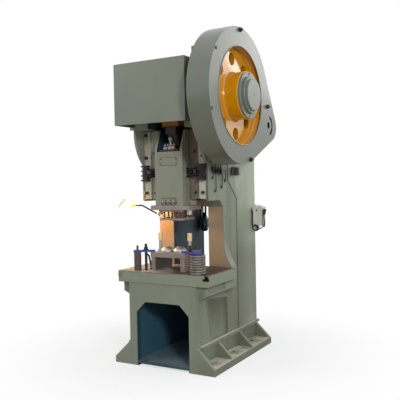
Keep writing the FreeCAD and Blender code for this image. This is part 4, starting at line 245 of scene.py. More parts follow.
# %% Painted metal
def paint(name, tint, rough=0.36, grime=0.35, wear=0.5, under=display(70, 66, 60), wave=0.0006,
          patch=None, second=None, **more):
    """Sprayed paint; patch gives a mask from the finish's own sockets for a second colour."""
    f = Finish(name)
    cloud = f.noise(1.7, 3.0)
    fine = f.noise(55, 4.0)
    runs = f.noise(6, 5.0, (1, 1, 0.10))
    shade = f.mix(f.span(cloud, 0.3, 0.7) * 0.5, lighter(tint, 0.90), lighter(tint, 1.10))
    if patch:
        shade = f.mix(patch(f), shade, second)
    dirt = f.span(runs * 0.6 + fine * 0.4, 0.50, 0.72) * grime
    chipped = f.span(f.edges(0.004) * 0.6 + fine * 0.75, 0.72, 0.80) * wear
    shade = f.coats(shade, (dirt, lighter(tint, 0.45)), (chipped, under))
    gloss = rough + fine * 0.10 + dirt * 0.3 + chipped * 0.2
    return f.done(shade, gloss, height=cloud * 0.5 + fine * 0.06 - chipped * 0.25, depth=wave,
                  round_=0.0015, **more)


GREEN = display(124, 134, 118)
HOOD_GREEN = display(112, 119, 107)
# The guard wears the machine's green; this darker copy is painted shade, as the guard's drum stands
# in shade.
GUARD_GREEN_SHADED = display(98, 104, 93)
TEAL = display(40, 68, 82)
ORANGE = display(200, 138, 4)


# %% [markdown]
# ## The column's casting
# The column is one casting, green outside and teal in the rooms that a brush hardly reaches.
# Two material slots could hold the two paints, but the border between them crosses single
# faces. So one finish finds each room by its planes, and then lays on what years of work have
# left: streaks of oil, a stain on the rear panel, dust on the feet and chips on the edges. It
# also lays on painted light: the lamp's warm glow on the uprights, a lighter reflection on the
# rear panel, and painted shade with some grime that darkens the right side towards the floor.

# %% The planes of the column, and its rooms
FRONT, RIGHT, UP = (0, -1, 0), (1, 0, 0), (0, 0, 1)
SKIN = 0.0005
THROAT_HALF, THROAT_Y = 0.1595, -0.0565
HEAD_FRONT, HEAD_BACK, HEAD_FLOOR, HEAD_TOP = -0.398, -0.0855, 1.226, 2.14
WEB_HALF, WEB_Y, WEB_FLOOR = 0.2186, 0.0216, 0.482
CHAMBER_HALF, CHAMBER_FRONT, CHAMBER_FLOOR, CHAMBER_TOP = 0.2456, -0.4556, 0.018, 0.545
WINDOW_HALF, SILL_TOP = 0.2254, 0.0352
SIDE, SEAM_Y, REAR_Y, COLUMN_TOP = 0.275, 0.175, 0.545, 1.6445
UPRIGHT_Y, UPRIGHT_LOW, UPRIGHT_TOP = -0.12, 0.72, 1.24
TRAY_TOP, FOOT_TOP = 0.25, 0.2


def rooms(f):
    """Masks of all the teal rooms, and of the chamber in the base."""
    half = f.x.size()
    throat = (half < THROAT_HALF) * (f.y > THROAT_Y)
    head = (half < THROAT_HALF) * (f.z > HEAD_FLOOR) * (f.y > HEAD_FRONT)
    web = (half < WEB_HALF) * (f.y > WEB_Y) * (f.z > WEB_FLOOR)
    chamber = (half < CHAMBER_HALF) * (f.y > CHAMBER_FRONT)
    chamber = chamber * (f.z < CHAMBER_TOP) * (f.z > CHAMBER_FLOOR)
    sill = (half < WINDOW_HALF) * (f.z < SILL_TOP)
    jamb = (half < WINDOW_HALF + SKIN) * (f.z < CHAMBER_TOP) * (f.facing(FRONT) < 0.7)
    jamb = jamb * (f.y < 0)
    outside = (f.y > REAR_Y - SKIN).most(f.z > HEAD_TOP)
    outside = outside.most((f.y > HEAD_BACK) * (f.z > COLUMN_TOP))
    inside = throat.most(head).most(web).most(chamber).most(sill).most(jamb)
    return inside * (1 - outside), chamber


# %% Wear and painted shade of the column
def settled(f, fine, inside):
    """Where pale dust lies: low and level, and less of it in the rooms."""
    level = f.span(f.facing(UP), 0.6, 0.9) * (f.z < TRAY_TOP)
    return level * f.span(f.noise(11, 5.0) * 0.7 + fine * 0.3, 0.30, 0.52) * (1 - inside * 0.85)


def shade_and_grime_low(f, fine):
    """Painted shade and grime that darken the right side towards the floor, most at its foot and
    its rear.
    """
    flank = f.span(f.x, 0.20, 0.33)
    low = f.span(0.16 - f.z + fine * 0.10, 0.06, 0.16) * flank * 0.42
    low = low.most(f.span(0.95 - f.z, 0.0, 0.45) * flank * 0.26)
    return low.most(f.span(0.98 - f.z, 0.0, 0.26) * (f.x > SIDE) * f.span(f.y, -0.12, 0.20) * 0.50)


def casting():
    """Green paint outside, teal in the rooms, the wear of years over both, and painted light and
    shade.
    """
    f = Finish("machine_paint")
    cloud = f.noise(1.5, 3.0)
    fine = f.noise(60, 4.0)
    runs = f.noise(6, 5.0, (1, 1, 0.08))
    inside, chamber = rooms(f)
    green = f.mix(f.span(cloud, 0.3, 0.7) * 0.6, lighter(GREEN, 0.90), lighter(GREEN, 1.10))
    teal = f.mix(f.span(f.noise(5, 4.0), 0.35, 0.65), lighter(TEAL, 0.8), lighter(TEAL, 1.25))
    teal = f.mix(chamber, teal, lighter(TEAL, 1.9))
    right = f.x > SIDE
    rear = (f.y > SEAM_Y) * right
    dirt = f.span(runs * 0.65 + fine * 0.35, 0.50, 0.70) * 0.35
    # Painted light: the warm glow of the machine's lamp on the front of the uprights, outside the
    # rooms.
    painted_lamp_light = (f.facing(FRONT) > 0.7) * (f.z > UPRIGHT_LOW) * (f.z < UPRIGHT_TOP)
    painted_lamp_light = painted_lamp_light * (f.y > UPRIGHT_Y) * (1 - inside)
    stain = f.span(f.noise(3.4, 3.0, (1, 1, 0.45)), 0.50, 0.66) * f.span(f.z, 1.0, 1.25)
    yellow = f.span(f.y + fine * 0.010, REAR_Y - 0.012, REAR_Y - 0.002)
    yellow = yellow * f.span(f.z, 1.05, 1.12) * right
    dust, low_shade_and_grime = settled(f, fine, inside), shade_and_grime_low(f, fine)
    pale = f.span(f.edges(0.007) * 0.7 + fine * 0.5, 0.58, 0.76) * (f.z < FOOT_TOP) * right
    chipped = f.span(f.edges(0.005) * 0.6 + fine * 0.75, 0.74, 0.82) * 0.55
    shade = f.coats(
        f.mix(inside, green, teal),
        (dirt, display(72, 74, 62)),
        # Painted reflection: the rear panel is painted lighter from z 0.75 m up, where it reflects
        # a brighter light.
        (rear * f.span(f.z, 0.75, 1.05) * 0.85, lighter(GREEN, 1.55)),
        (painted_lamp_light * 0.45, display(172, 134, 98)),
        (stain * rear * 0.45, display(118, 126, 84)),
        (yellow * 0.8, display(176, 170, 60)),
        (dust * 0.95, display(220, 216, 194)),
        (low_shade_and_grime, display(88, 84, 70)),
        (pale * 0.6, display(196, 192, 172)),
        (chipped, display(84, 78, 68)))
    gloss = 0.34 + fine * 0.12 + dirt * 0.4 + low_shade_and_grime * 0.3 + dust * 0.3
    return f.done(shade, gloss, height=cloud * 0.6 + fine * 0.05 - chipped * 0.2, depth=0.0008,
                  round_=0.0035)


# %% [markdown]
# ## Bare metal
# Ground steel shows fine scratches along the way it was ground, and stains of old oil. A
# photograph of steel could be wrapped round each piece, but it would need unwrapping. A noise
# stretched in one direction draws the scratches on any shape.


# %% Ground, blackened and rusted metal
def bare(name, tint, rough=0.34, stain=display(74, 58, 48), stained=0.35, grain=(1, 40, 40),
         metal=0.9, rust=0.0, rusted=display(112, 68, 42)):
    """Steel or bronze with scratches along its grain, stains of oil and patches of rust."""
    f = Finish(name)
    lines = f.noise(9, 5.0, grain, 0.7)
    cloud = f.noise(7, 5.0)
    fine = f.noise(140, 3.0)
    spoiled = f.span(cloud * 0.7 + fine * 0.3, 0.46, 0.66) * stained
    rusty = f.span(cloud * 0.5 + f.noise(26, 5.0) * 0.5 + f.edges(0.004) * 0.1, 0.50, 0.60) * rust
    shade = f.coats(tint, (f.span(lines, 0.3, 0.7) * 0.35, lighter(tint, 0.6)),
                    (spoiled, stain), (rusty, rusted))
    gloss = rough + lines * 0.12 + spoiled * 0.35 + rusty * 0.35
    return f.done(shade, gloss, metal * (1 - spoiled * 0.6 - rusty * 0.8),
                  height=lines * 0.2 + fine * 0.1 + rusty * 0.5, depth=0.0003, round_=0.001)


# %% [markdown]
# ## Stacked rings and the worn table
# The stack of loose rings is one solid. The gaps between them could be cut, but dark bands at
# equal heights look the same from a step away. The table's top is bare iron with rust,
# scratches and a bright worn half, and its sides are painted. One finish holds both, because
# rust creeps over the edge from one to the other.


# %% Rings and table
RINGS = 8
SLOT_FLOOR, SLOT_TOP, SLOT_DEEP, SLOT_WIDE = 0.64, 0.6995, 0.50, 0.386
SEEP_LOW, SEEP_HIGH = 0.706, 0.714


def rings_steel():
    """Steel rings stacked on each other, with painted shade in the gaps between them."""
    low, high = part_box("heel_rings")
    f = Finish("ring_steel")
    place = (f.z - low[2]) * (RINGS / (high[2] - low[2]))
    gap = (f.node("ShaderNodeMath", {"operation": "FRACT"}, {0: place}) - 0.5).size()
    fine = f.noise(90, 4.0)
    shade = f.mix(f.span(f.noise(12, 4.0, (1, 1, 8)), 0.3, 0.7), display(150, 144, 138),
                  display(104, 98, 92))
    # Painted shade: dark bands where the gaps between the rings lie.
    dark = f.span(gap + fine * 0.06, 0.38, 0.47)
    shade = f.mix(dark, shade, display(30, 28, 26))
    return f.done(shade, 0.28 + fine * 0.2 + dark * 0.3, 0.85 - dark * 0.7,
                  height=fine * 0.2 - dark, depth=0.0005, round_=0.001)


def table_iron():
    """Bare iron on top and in the slots, paint on the sides, and rust over the edge."""
    f = Finish("table_iron")
    cloud = f.noise(5, 6.0, rough=0.62)
    fine = f.noise(70, 5.0)
    scratch = f.noise(14, 4.0, (1, 18, 1), 0.7)
    rust = f.coats(
        display(68, 48, 40),
        (f.span(cloud, 0.35, 0.65), display(98, 72, 56)),
        (f.span(scratch * 0.5 + fine * 0.5, 0.52, 0.68) * 0.5, display(118, 106, 96)),
        (f.span(f.x, -0.08, 0.15) * 0.6, display(54, 42, 32)),
        (f.span(0.10 - f.x + cloud * 0.25, 0.05, 0.38) * 0.8, display(182, 174, 158)))
    green = f.mix(f.span(f.noise(2, 3.0), 0.3, 0.7) * 0.5, lighter(GREEN, 0.94),
                  lighter(GREEN, 1.08))
    worn = f.span(f.edges(0.006) * 0.7 + fine * 0.6, 0.62, 0.78)
    seep = f.span(f.z + cloud * 0.02, SEEP_LOW, SEEP_HIGH)
    seep = seep * f.span(fine * 0.5 + cloud * 0.5, 0.44, 0.56)
    green = f.mix(worn.most(seep * 0.8), green, display(116, 74, 54))
    slots = (f.z < SLOT_TOP) * (f.z > SLOT_FLOOR)
    slots = slots * (f.y.size() < SLOT_DEEP) * (f.x.size() < SLOT_WIDE)
    top = f.span(f.facing(UP), 0.55, 0.9).most(slots)
    shade = f.mix(top, green, rust)
    return f.done(shade, 0.42 + fine * 0.2 + top * 0.06, top * 0.2,
                  height=fine * 0.3 + cloud * 0.3 - worn * 0.2, depth=0.0006, round_=0.002)


# %% [markdown]
# ## Rubber, plastic and glass
# These pieces are small, so each needs only a slight unevenness in colour and roughness, and
# one recipe serves them all. The gibs, the ram and the connecting rod have a second colour in
# one place each, which a small function marks by the planes that bound it: teal paint in the
# ram's pocket, and painted shade on the right gib and at the rod's lower end.


# %% Small finishes and second colours
GIB_SPLIT, POCKET_HALF, POCKET_FLOOR, ROD_BAND = 0.212, 0.1006, 1.5955, 1.800


def plain(name, tint, rough, metal=0.0, change=0.25, bump=0.0004, scale=90, **more):
    """One colour with a fine grain and a little dust."""
    f = Finish(name)
    grain = f.noise(scale, 4.0)
    dust = f.span(f.noise(14, 4.0), 0.45, 0.7) * change
    shade = f.mix(dust, tint, tuple(min(1, c * 1.5 + 0.03) for c in tint))
    return f.done(shade, rough + grain * 0.12, metal, height=grain, depth=bump, **more)


def shaded_gib_half(f):
    """The inner half of the right gib's front, painted brown as shade."""
    return (f.x > 0) * (f.x < GIB_SPLIT) * f.span(f.noise(5, 4.0), 0.15, 0.45) * 0.85


def ram_pocket(f):
    """The open pocket at the top of the ram."""
    return (f.x.size() < POCKET_HALF) * (f.z > POCKET_FLOOR)


def rod_foot_shade(f):
    """The lower end of the connecting rod, painted dark as the shade under the hood."""
    return f.span(ROD_BAND - f.z, 0.0, 0.020)


# %% [markdown]
# ## The lit lamp
# The work lamp is switched on, and its shade shines nearly white with a tan rim. A strong
# light inside it would do that too, but it would also need many samples to look calm. So the
# shade's inner wall gives light of its own, which is found by its distance from the middle of
# the dome, and the arm does the same round the bulb's socket.


# %% Shade and arm of the lamp
DOME, DOME_R, ENAMEL = Vector((-0.412, -0.312, 1.155)), 0.085, 0.0006
RIM_AXIS = (-0.66, -0.38, 0.65)
SOCKET_NEAR, SOCKET_FAR = 0.060, 0.075


def lamp_shade():
    """White enamel that glows from within, with a tan rim where it is thickest to the eye."""
    f = Finish("lamp_paint")
    inner = f.vector("DISTANCE", f.where, DOME) < DOME_R + ENAMEL
    rim = f.span(f.facing(RIM_AXIS).size(), 0.74, 0.97)
    glow = f.coats(display(250, 226, 196), (inner, display(255, 246, 232)),
                   (rim, display(120, 84, 66)))
    shade = f.mix(rim, display(226, 214, 196), display(176, 136, 110))
    fine = f.noise(70, 3.0)
    return f.done(shade, 0.4 + fine * 0.1, height=fine, depth=0.0002,
                  **{"Emission Color": glow, "Emission Strength": 0.75})


def lamp_holder():
    """A dark arm whose socket is lit by the bulb beside it."""
    f = Finish("arm_paint")
    low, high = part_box("lamp_bulb")
    away = f.vector("DISTANCE", f.where, (Vector(low) + Vector(high)) / 2)
    near = 1 - f.span(away, SOCKET_NEAR, SOCKET_FAR)
    # The arm's end above the shade gets the same painted glow as the socket.
    near = near.most((f.x < low[0] + 0.005) * (f.z > high[2] + 0.03))
    fine = f.noise(80, 4.0)
    dark = f.mix(fine, display(40, 40, 38), display(58, 54, 48))
    shade = f.mix(near, dark, display(206, 160, 112))
    glow = f.mix(near, (0.0, 0.0, 0.0), display(214, 150, 92))
    return f.done(shade, 0.38 + fine * 0.1, 0.4 - near * 0.4, height=fine, depth=0.0002,
                  **{"Emission Color": glow, "Emission Strength": 0.7})


# %% [markdown]
# ## Every finish by its name
# Each part of the model says what it is made of, and that name leads to a finish. A few
# parts look different from the rest of their material, and they have a finish of their own.

# %% The finishes, and which part wears which
FINISH = {
    "machine_paint": casting(),
    "ram_paint": paint("ram_paint", display(132, 136, 120), 0.34, 0.30, 0.4, patch=ram_pocket,
                       second=display(34, 56, 68)),
    # Painted light: the gibs' grey is lighter than their own, to make up for the hood's shadow on
    # them.
    "gib_paint": paint("gib_paint", display(182, 182, 166), 0.36, 0.45, 0.6,
                       under=display(110, 92, 76), patch=shaded_gib_half, second=display(96, 84, 72)),
    "hood_paint": paint("hood_paint", HOOD_GREEN, 0.30, 0.15, 0.2, wave=0.0004),
    "guard_paint": paint("guard_paint", GUARD_GREEN_SHADED, 0.26, 0.18, 0.25, wave=0.0005,
                         **{"Coat Weight": 0.25, "Coat Roughness": 0.18}),
    "hub_paint": paint("hub_paint", display(112, 118, 108), 0.28, 0.2, 0.3, wave=0.0003),
    "wheel_paint": paint("wheel_paint", ORANGE, 0.20, 0.22, 0.25, under=display(96, 60, 30),
                         wave=0.0003, **{"Coat Weight": 1.0, "Coat Roughness": 0.06,
                                         "Coat IOR": 1.5}),
    "rod_paint": paint("rod_paint", display(168, 100, 30), 0.42, 0.7, 0.5,
                       under=display(60, 50, 40), patch=rod_foot_shade, second=display(40, 38, 36)),
    "motor_paint": paint("motor_paint", display(70, 88, 100), 0.4, 0.4, 0.5),
    "clamp_paint": paint("clamp_paint", display(48, 68, 160), 0.40, 0.25, 0.5,
                         under=display(88, 84, 84)),
    "tank_paint": paint("tank_paint", display(206, 209, 203), 0.35, 0.20, 0.3),
    "plate_paint": paint("plate_paint", display(130, 134, 118), 0.30, 0.20, 0.5),
    "lamp_paint": lamp_shade(),
    "arm_paint": lamp_holder(),
    "table_iron": table_iron(),
    "ground_steel": bare("ground_steel", display(160, 150, 146), 0.36, stained=0.45),
    "bright_steel": bare("bright_steel", display(196, 196, 194), 0.20, stained=0.18),
    "black_steel": bare("black_steel", display(44, 43, 44), 0.38, display(60, 52, 46), 0.5,
                        metal=0.6),
    "rusty_steel": bare("rusty_steel", display(92, 78, 70), 0.45, rust=0.9, metal=0.5,
                        rusted=display(92, 62, 46)),
    "oily_tray": plain("oily_tray", display(34, 54, 60), 0.80, 0.4),
    "dome_steel": bare("dome_steel", display(186, 184, 180), 0.34, stained=0.15),
    "ring_steel": rings_steel(),
    "bronze": bare("bronze", display(176, 132, 70), 0.30),
    "guide_brass": plain("guide_brass", display(214, 190, 140), 0.42, 0.35),
    "belt_rubber": plain("belt_rubber", display(34, 34, 34), 0.65),
    "grip_plastic": plain("grip_plastic", display(26, 26, 27), 0.38),
    "fitting_metal": plain("fitting_metal", display(148, 148, 144), 0.40, 0.6),
    "valve_paint": plain("valve_paint", display(104, 130, 134), 0.40, 0.4),
    "pipe_metal": bare("pipe_metal", display(84, 84, 72), 0.40, metal=0.6),
    "bulb_glass": plain("bulb_glass", display(255, 240, 214), 0.3, **{
        "Emission Color": (*display(255, 236, 205), 1), "Emission Strength": 2.0}),
}
LOOKS_LIKE = {
    "ram": "ram_paint", "shank_clamp": "ram_paint", "gib_left": "gib_paint",
    "gib_right": "gib_paint", "hub_cover": "hub_paint", "shaft_end_cap": "hub_paint",
    "motor_base": "guard_paint", "connecting_rod": "rod_paint", "rod_cap": "rod_paint",
    "heel_post": "rusty_steel", "brake_drum": "rusty_steel", "motor_pulley": "black_steel",
    "rod_shell": "rusty_steel", "adjusting_screw": "black_steel", "lock_nut": "black_steel",
    "ball_cap": "black_steel", "stripper_studs": "rusty_steel", "forming_domes": "dome_steel",
    "heel_rings": "ring_steel", "lamp_arm": "arm_paint",
}


def finish_of(node):
    """The name of the finish that a part of the model wears."""
    return LOOKS_LIKE.get(node, slot_of[node])


for node, thing in frame["nodes"].items():
    thing.data.materials.clear()
    thing.data.materials.append(FINISH[finish_of(node)])
print(len(FINISH), "finishes")

# %% [markdown]
# ## Tools for making pieces
# Most of the machine keeps the model's shape, but a casting never has a knife edge. So a copy
# of the solid is welded, its flat triangles are joined, and a Bevel modifier rounds what is
# left. The column is the exception: its walls meet at so many odd corners that rounded
# geometry would cross itself, so its finish rounds the edges in the shading instead.


# %% Registering a piece
SHARP = math.radians(35)


def register(name, mesh, slot, body, replaces=(), finish=None):
    """Puts a mesh in the scene as a finished piece of the machine."""
    piece = placed(name, mesh)
    mesh.materials.clear()
    mesh.materials.append(FINISH[finish or slot])
    for face in mesh.polygons:
        face.use_smooth = True
        face.material_index = 0
    mesh.set_sharp_from_angle(angle=SHARP)
    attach(piece, body)
    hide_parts(*replaces)
    print("%-24s %6d faces on %s" % (name, len(mesh.polygons), body))
    return piece


@contextmanager
def worked(*sources, into):
    """A bmesh of some meshes, whose result goes into a mesh when the work is done."""
    work = bmesh.new()
    for mesh in sources:
        work.from_mesh(mesh)
    yield work
    work.to_mesh(into)
    work.free()


# %% [markdown]
# ## Every casting and machined block
# The pieces below already have the right shape, so each gets a softened copy: a wide rounding
# on castings, a narrow one on machined steel, and none on the column.

# %% Softened copies
WELD, FLAT = 2e-6, math.radians(0.6)
BROAD, MACHINED, SMALL = 0.003, 0.0012, 0.0006
SOFT = {
    "frame": 0, "bolster": 0.002, "ram": 0.002, "gib_left": MACHINED, "gib_right": MACHINED,
    "connecting_rod": BROAD, "rod_cap": 0.002, "shank_clamp": MACHINED,
    "ram_plate": MACHINED, "upper_die": MACHINED, "stripper_plate": SMALL, "die_rails": MACHINED,
    "lower_die_plate": MACHINED, "strap_clamps": 0.0015, "lubricator": 0.0015,
    "oil_distributor": 0.001, "motor_base": 0.002, "motor_body": SMALL, "brake_band": SMALL,
    "ball_cap": MACHINED, "lock_nut": MACHINED, "adjusting_screw": SMALL,
    "crankshaft": 0.002, "top_cover": SMALL, "name_plate": 0.0004, "guide_bushes": SMALL,
}


def soften(node, width):
    """A welded copy of a solid that takes its place, rounded where a width is given."""
    mesh = bpy.data.meshes.new(node + "_dressed")
    with worked(frame["nodes"][node].data, into=mesh) as work:
        bmesh.ops.remove_doubles(work, verts=work.verts, dist=WELD)
        bmesh.ops.dissolve_limit(work, angle_limit=FLAT, verts=work.verts, edges=work.edges)
    piece = register(mesh.name, mesh, slot_of[node], body_of[node], [node], finish_of(node))
    if width:
        bevel = piece.modifiers.new("rounding", "BEVEL")
        bevel.width, bevel.segments = width, 3 if width >= BROAD else 2
        bevel.limit_method, bevel.angle_limit = "ANGLE", math.radians(30)
        bevel.use_clamp_overlap = False
        bevel.harden_normals = True


for node, width in SOFT.items():
    soften(node, width)

# %% [markdown]
# ## Patterns that repeat
# Screws, nuts, threads, welds and pipes come again and again, so each is a Geometry Nodes tree
# that grows on a few points or lines. A point carries the direction that its screw
# faces. The tree's inputs have names, but a modifier knows them by identifiers, which is why
# grow() looks each identifier up before the object is evaluated for the first time.


# %% A geometry tree and the call that uses it
class Pattern(Tree):
    """A geometry tree with a base, named sizes and a finish."""

    def __init__(self, name, **kinds):
        group = bpy.data.node_groups.new(name, "GeometryNodeTree")
        super().__init__(group)
        face = group.interface
        face.new_socket("Base", in_out="INPUT", socket_type="NodeSocketGeometry")
        for size, kind in dict(kinds, finish="Material").items():
            face.new_socket(size, in_out="INPUT", socket_type="NodeSocket" + kind)
        face.new_socket("Grown", in_out="OUTPUT", socket_type="NodeSocketGeometry")
        start = group.nodes.new("NodeGroupInput")
        self.input = {socket.name: Value(self, socket) for socket in start.outputs if socket.name}

    def on_points(self, spots, thing, direction, **more):
        """Places a thing on each spot with its own Z along a direction."""
        turn = self.node("FunctionNodeAlignRotationToVector", {"axis": "Z"}, {"Vector": direction})
        return self.node("GeometryNodeInstanceOnPoints", inputs={
            "Points": spots, "Instance": thing, "Rotation": turn, **more})

    def outward(self):
        """The direction that each point of the base carries."""
        return self.node("GeometryNodeInputNamedAttribute", {"data_type": "FLOAT_VECTOR"},
                         {"Name": "out"})

    def line(self, every=None):
        """The base's lines as a curve, in equal steps where their length is given."""
        curve = self.node("GeometryNodeMeshToCurve", inputs={0: self.input["Base"]})
        return curve if every is None else self.node("GeometryNodeResampleCurve", {
            "mode": "LENGTH"}, {"Curve": curve, "Length": every})

    def circle(self, sides, radius):
        return self.node("GeometryNodeCurvePrimitiveCircle", inputs={
            "Resolution": sides, "Radius": radius})

    def lifted(self, thing, height):
        place = self.node("ShaderNodeCombineXYZ", inputs={"Z": height})
        return self.node("GeometryNodeTransform", inputs={0: thing, "Translation": place})

    def disc(self, sides, radius, thick, height=0.0, top=1.0):
        """A disc or prism that stands on a height; top narrows its upper face."""
        made = self.node("GeometryNodeMeshCone", inputs={
            "Vertices": sides, "Radius Bottom": radius, "Radius Top": radius * top,
            "Depth": thick})
        return self.lifted(made, height)

    def close(self, grown):
        """Ends the tree with plain geometry in its finish."""
        whole = self.node("GeometryNodeRealizeInstances", inputs={0: grown})
        painted = self.node("GeometryNodeSetMaterial", inputs={
            0: whole, "Material": self.input["finish"]})
        self.node("NodeGroupOutput", inputs={0: painted})
        print("pattern", self.tree.name, "has", len(self.tree.nodes), "nodes")


def grow(pattern, points, lines=(), out=None, **sizes):
    """Runs a pattern on points or lines and gives the result as a plain mesh."""
    base = bpy.data.meshes.new("base")
    base.from_pydata(points, lines, [])
    if out:
        facing = base.attributes.new("out", "FLOAT_VECTOR", "POINT")
        facing.data.foreach_set("vector", [part for vector in out for part in vector])
    holder = placed("base", base)
    modifier = holder.modifiers.new("pattern", "NODES")
    modifier.node_group = pattern.tree
    for item in pattern.tree.interface.items_tree:
        if item.in_out == "INPUT" and item.name in sizes:
            modifier[item.identifier] = sizes[item.name]
    evaluated = holder.evaluated_get(bpy.context.evaluated_depsgraph_get())
    mesh = bpy.data.meshes.new_from_object(evaluated)
    holder.modifiers.remove(modifier)
    bpy.data.objects.remove(holder)
    bpy.data.meshes.remove(base)
    return mesh


# %% Screw heads and nuts: a washer, a hexagon with a turned top, and the thread's end
heads = Pattern("heads", across="Float", rise="Float", end="Float")
ROOT3 = math.sqrt(3)
across, rise = heads.input["across"], heads.input["rise"]
heads.close(heads.on_points(heads.input["Base"], heads.node("GeometryNodeJoinGeometry", inputs={0: [
    heads.disc(20, across * 0.66, rise * 0.14),
    heads.disc(6, across / ROOT3, rise * 0.74, rise * 0.14),
    heads.disc(6, across / ROOT3, rise * 0.12, rise * 0.88, 0.84),
    heads.disc(16, across * 0.30, heads.input["end"], rise * 0.9, 0.8)]}), heads.outward()))

# %% Round heads of rivets
domes = Pattern("domes", radius="Float", rise="Float")
ball = domes.node("GeometryNodeMeshUVSphere", inputs={"Segments": 20, "Rings": 10, "Radius": 1.0})
shape = domes.node("ShaderNodeCombineXYZ", inputs={
    "X": domes.input["radius"], "Y": domes.input["radius"], "Z": domes.input["rise"]})
domes.close(domes.on_points(domes.input["Base"], ball, domes.outward(), Scale=shape))

# %% Threads: one ridge for each pitch along a line
threads = Pattern("threads", radius="Float", pitch="Float")
ridge = threads.node("GeometryNodeCurveToMesh", inputs={
    0: threads.circle(18, threads.input["radius"]),
    1: threads.circle(4, threads.input["pitch"] * 0.42)})
threads.close(threads.on_points(threads.line(threads.input["pitch"]), ridge,
                                threads.node("GeometryNodeInputTangent")))

# %% Pipes and beads: a round section along a line whose corners are rounded
pipes = Pattern("pipes", radius="Float", bend="Float")
route = pipes.node("GeometryNodeFilletCurve", {"mode": "POLY"}, {
    "Curve": pipes.line(), "Count": 6, "Radius": pipes.input["bend"], "Limit Radius": True})
pipes.close(pipes.node("GeometryNodeCurveToMesh", inputs={
    0: route, 1: pipes.circle(12, pipes.input["radius"]), "Fill Caps": True}))

# %% Welds: overlapping drops along a line, each a little different
welds = Pattern("welds", radius="Float", seed="Int")
drop = welds.node("GeometryNodeMeshIcoSphere", inputs={
    "Radius": welds.input["radius"], "Subdivisions": 2})
size = welds.node("FunctionNodeRandomValue", {"data_type": "FLOAT"}, {
    2: 0.85, 3: 1.15, "Seed": welds.input["seed"]}, 1)
welds.close(welds.on_points(welds.line(welds.input["radius"] * 0.9), drop,
                            welds.node("GeometryNodeInputTangent"), Scale=size))

# %% [markdown]
# ## Turned parts and blocks
# A turned part is drawn as half of its outline, as (along, radius) pairs, and spun about its
# axis. A Screw modifier could spin it too, but plain code keeps the poles closed. Corners are
# eased first, because a lathe tool never leaves a knife edge, and blocks get a real bevel.

# %% Spinning an outline
AXES = {"X": (0, 1, 2), "Y": (1, 2, 0), "Z": (2, 0, 1)}


def outward(mesh):
    """Turns every face of a closed mesh outwards."""
    with worked(mesh, into=mesh) as work:
        bmesh.ops.recalc_face_normals(work, faces=work.faces)
    return mesh


def eased(outline, radius, steps=3):
    """The outline with its corners rounded; corners on the axis stay."""
    result = []
    for i, here in enumerate(outline):
        before, after = outline[i - 1], outline[(i + 1) % len(outline)]
        if here[1] == 0:
            result.append(here)
            continue
        corner = Vector(here)
        back, on = Vector(before) - corner, Vector(after) - corner
        reach = min(radius, back.length * 0.45, on.length * 0.45)
        start, end = corner + back.normalized() * reach, corner + on.normalized() * reach
        for k in range(steps + 1):
            t = k / steps
            result.append(tuple(start.lerp(corner, t).lerp(corner.lerp(end, t), t)))
    return result


def spin(outline, centre, axis="X", steps=64, ease=0.002):
    """Spins a closed outline of (along, radius) points; a radius of 0 closes at a pole."""
    along, first, second = AXES[axis]
    points, rings, faces = [], [], []
    for place, radius in eased(outline, ease):
        ring = []
        for i in range(1 if radius == 0 else steps):
            spot = [0.0, 0.0, 0.0]
            turn = 2 * math.pi * i / steps
            spot[along] = centre[along] + place
            spot[first] = centre[first] + radius * math.cos(turn)
            spot[second] = centre[second] + radius * math.sin(turn)
            ring.append(len(points))
            points.append(spot)
        rings.append(ring)
    for ring, following in zip(rings, rings[1:] + rings[:1]):
        if len(ring) == 1 and len(following) == 1:
            continue
        for i in range(steps):
            j = (i + 1) % steps
            corners = [ring[i % len(ring)], ring[j % len(ring)],
                       following[j % len(following)], following[i % len(following)]]
            corners = list(dict.fromkeys(corners))
            if len(corners) > 2:
                faces.append(corners)
    mesh = bpy.data.meshes.new("turned")
    mesh.from_pydata(points, [], faces)
    return outward(mesh)


# %% Blocks, and meshes put together
def joined(*meshes):
    """Several meshes as one."""
    whole = bpy.data.meshes.new("joined")
    with worked(*meshes, into=whole):
        for mesh in meshes:
            bpy.data.meshes.remove(mesh)
    return whole


def bar(low, high, ease=0.003, steps=2):
    """A block between two corners, its edges rounded by a real bevel."""
    low, high = Vector(low), Vector(high)
    mesh = bpy.data.meshes.new("bar")
    with worked(into=mesh) as work:
        bmesh.ops.create_cube(work, size=1.0, matrix=Matrix.LocRotScale(
            (low + high) / 2, None, high - low))
        bmesh.ops.bevel(work, geom=work.edges, offset=ease, segments=steps, affect="EDGES")
    return outward(mesh)


def mirrored(mesh):
    """The mesh and its image on the other side of the machine."""
    other = mesh.copy()
    other.transform(Matrix.Scale(-1, 4, RIGHT))
    return joined(mesh, outward(other))


# %% Rows of heads, and lines drawn with a pattern
def headed(spots, facing, finish, **sizes):
    """Hexagon heads or nuts on washers, all facing one way."""
    return grow(heads, spots, out=[facing] * len(spots), finish=FINISH[finish], **sizes)


def fasten(name, spots, facing, across, rise, finish="black_steel", body="machine", end=0.004):
    """The same as a piece of its own."""
    mesh = headed(spots, facing, finish, across=across, rise=rise, end=end)
    return register(name, mesh, finish, body)


def drawn(pattern, runs, finish, **sizes):
    """Grows a pattern along some runs, each a list of places."""
    points, lines = [], []
    for run in runs:
        lines += [(len(points) + i, len(points) + i + 1) for i in range(len(run) - 1)]
        points += run
    return grow(pattern, points, lines, finish=FINISH[finish], **sizes)


# %% Where the model's own parts are
def middle(low, high):
    """The place halfway between two corners."""
    return (Vector(low) + Vector(high)) / 2


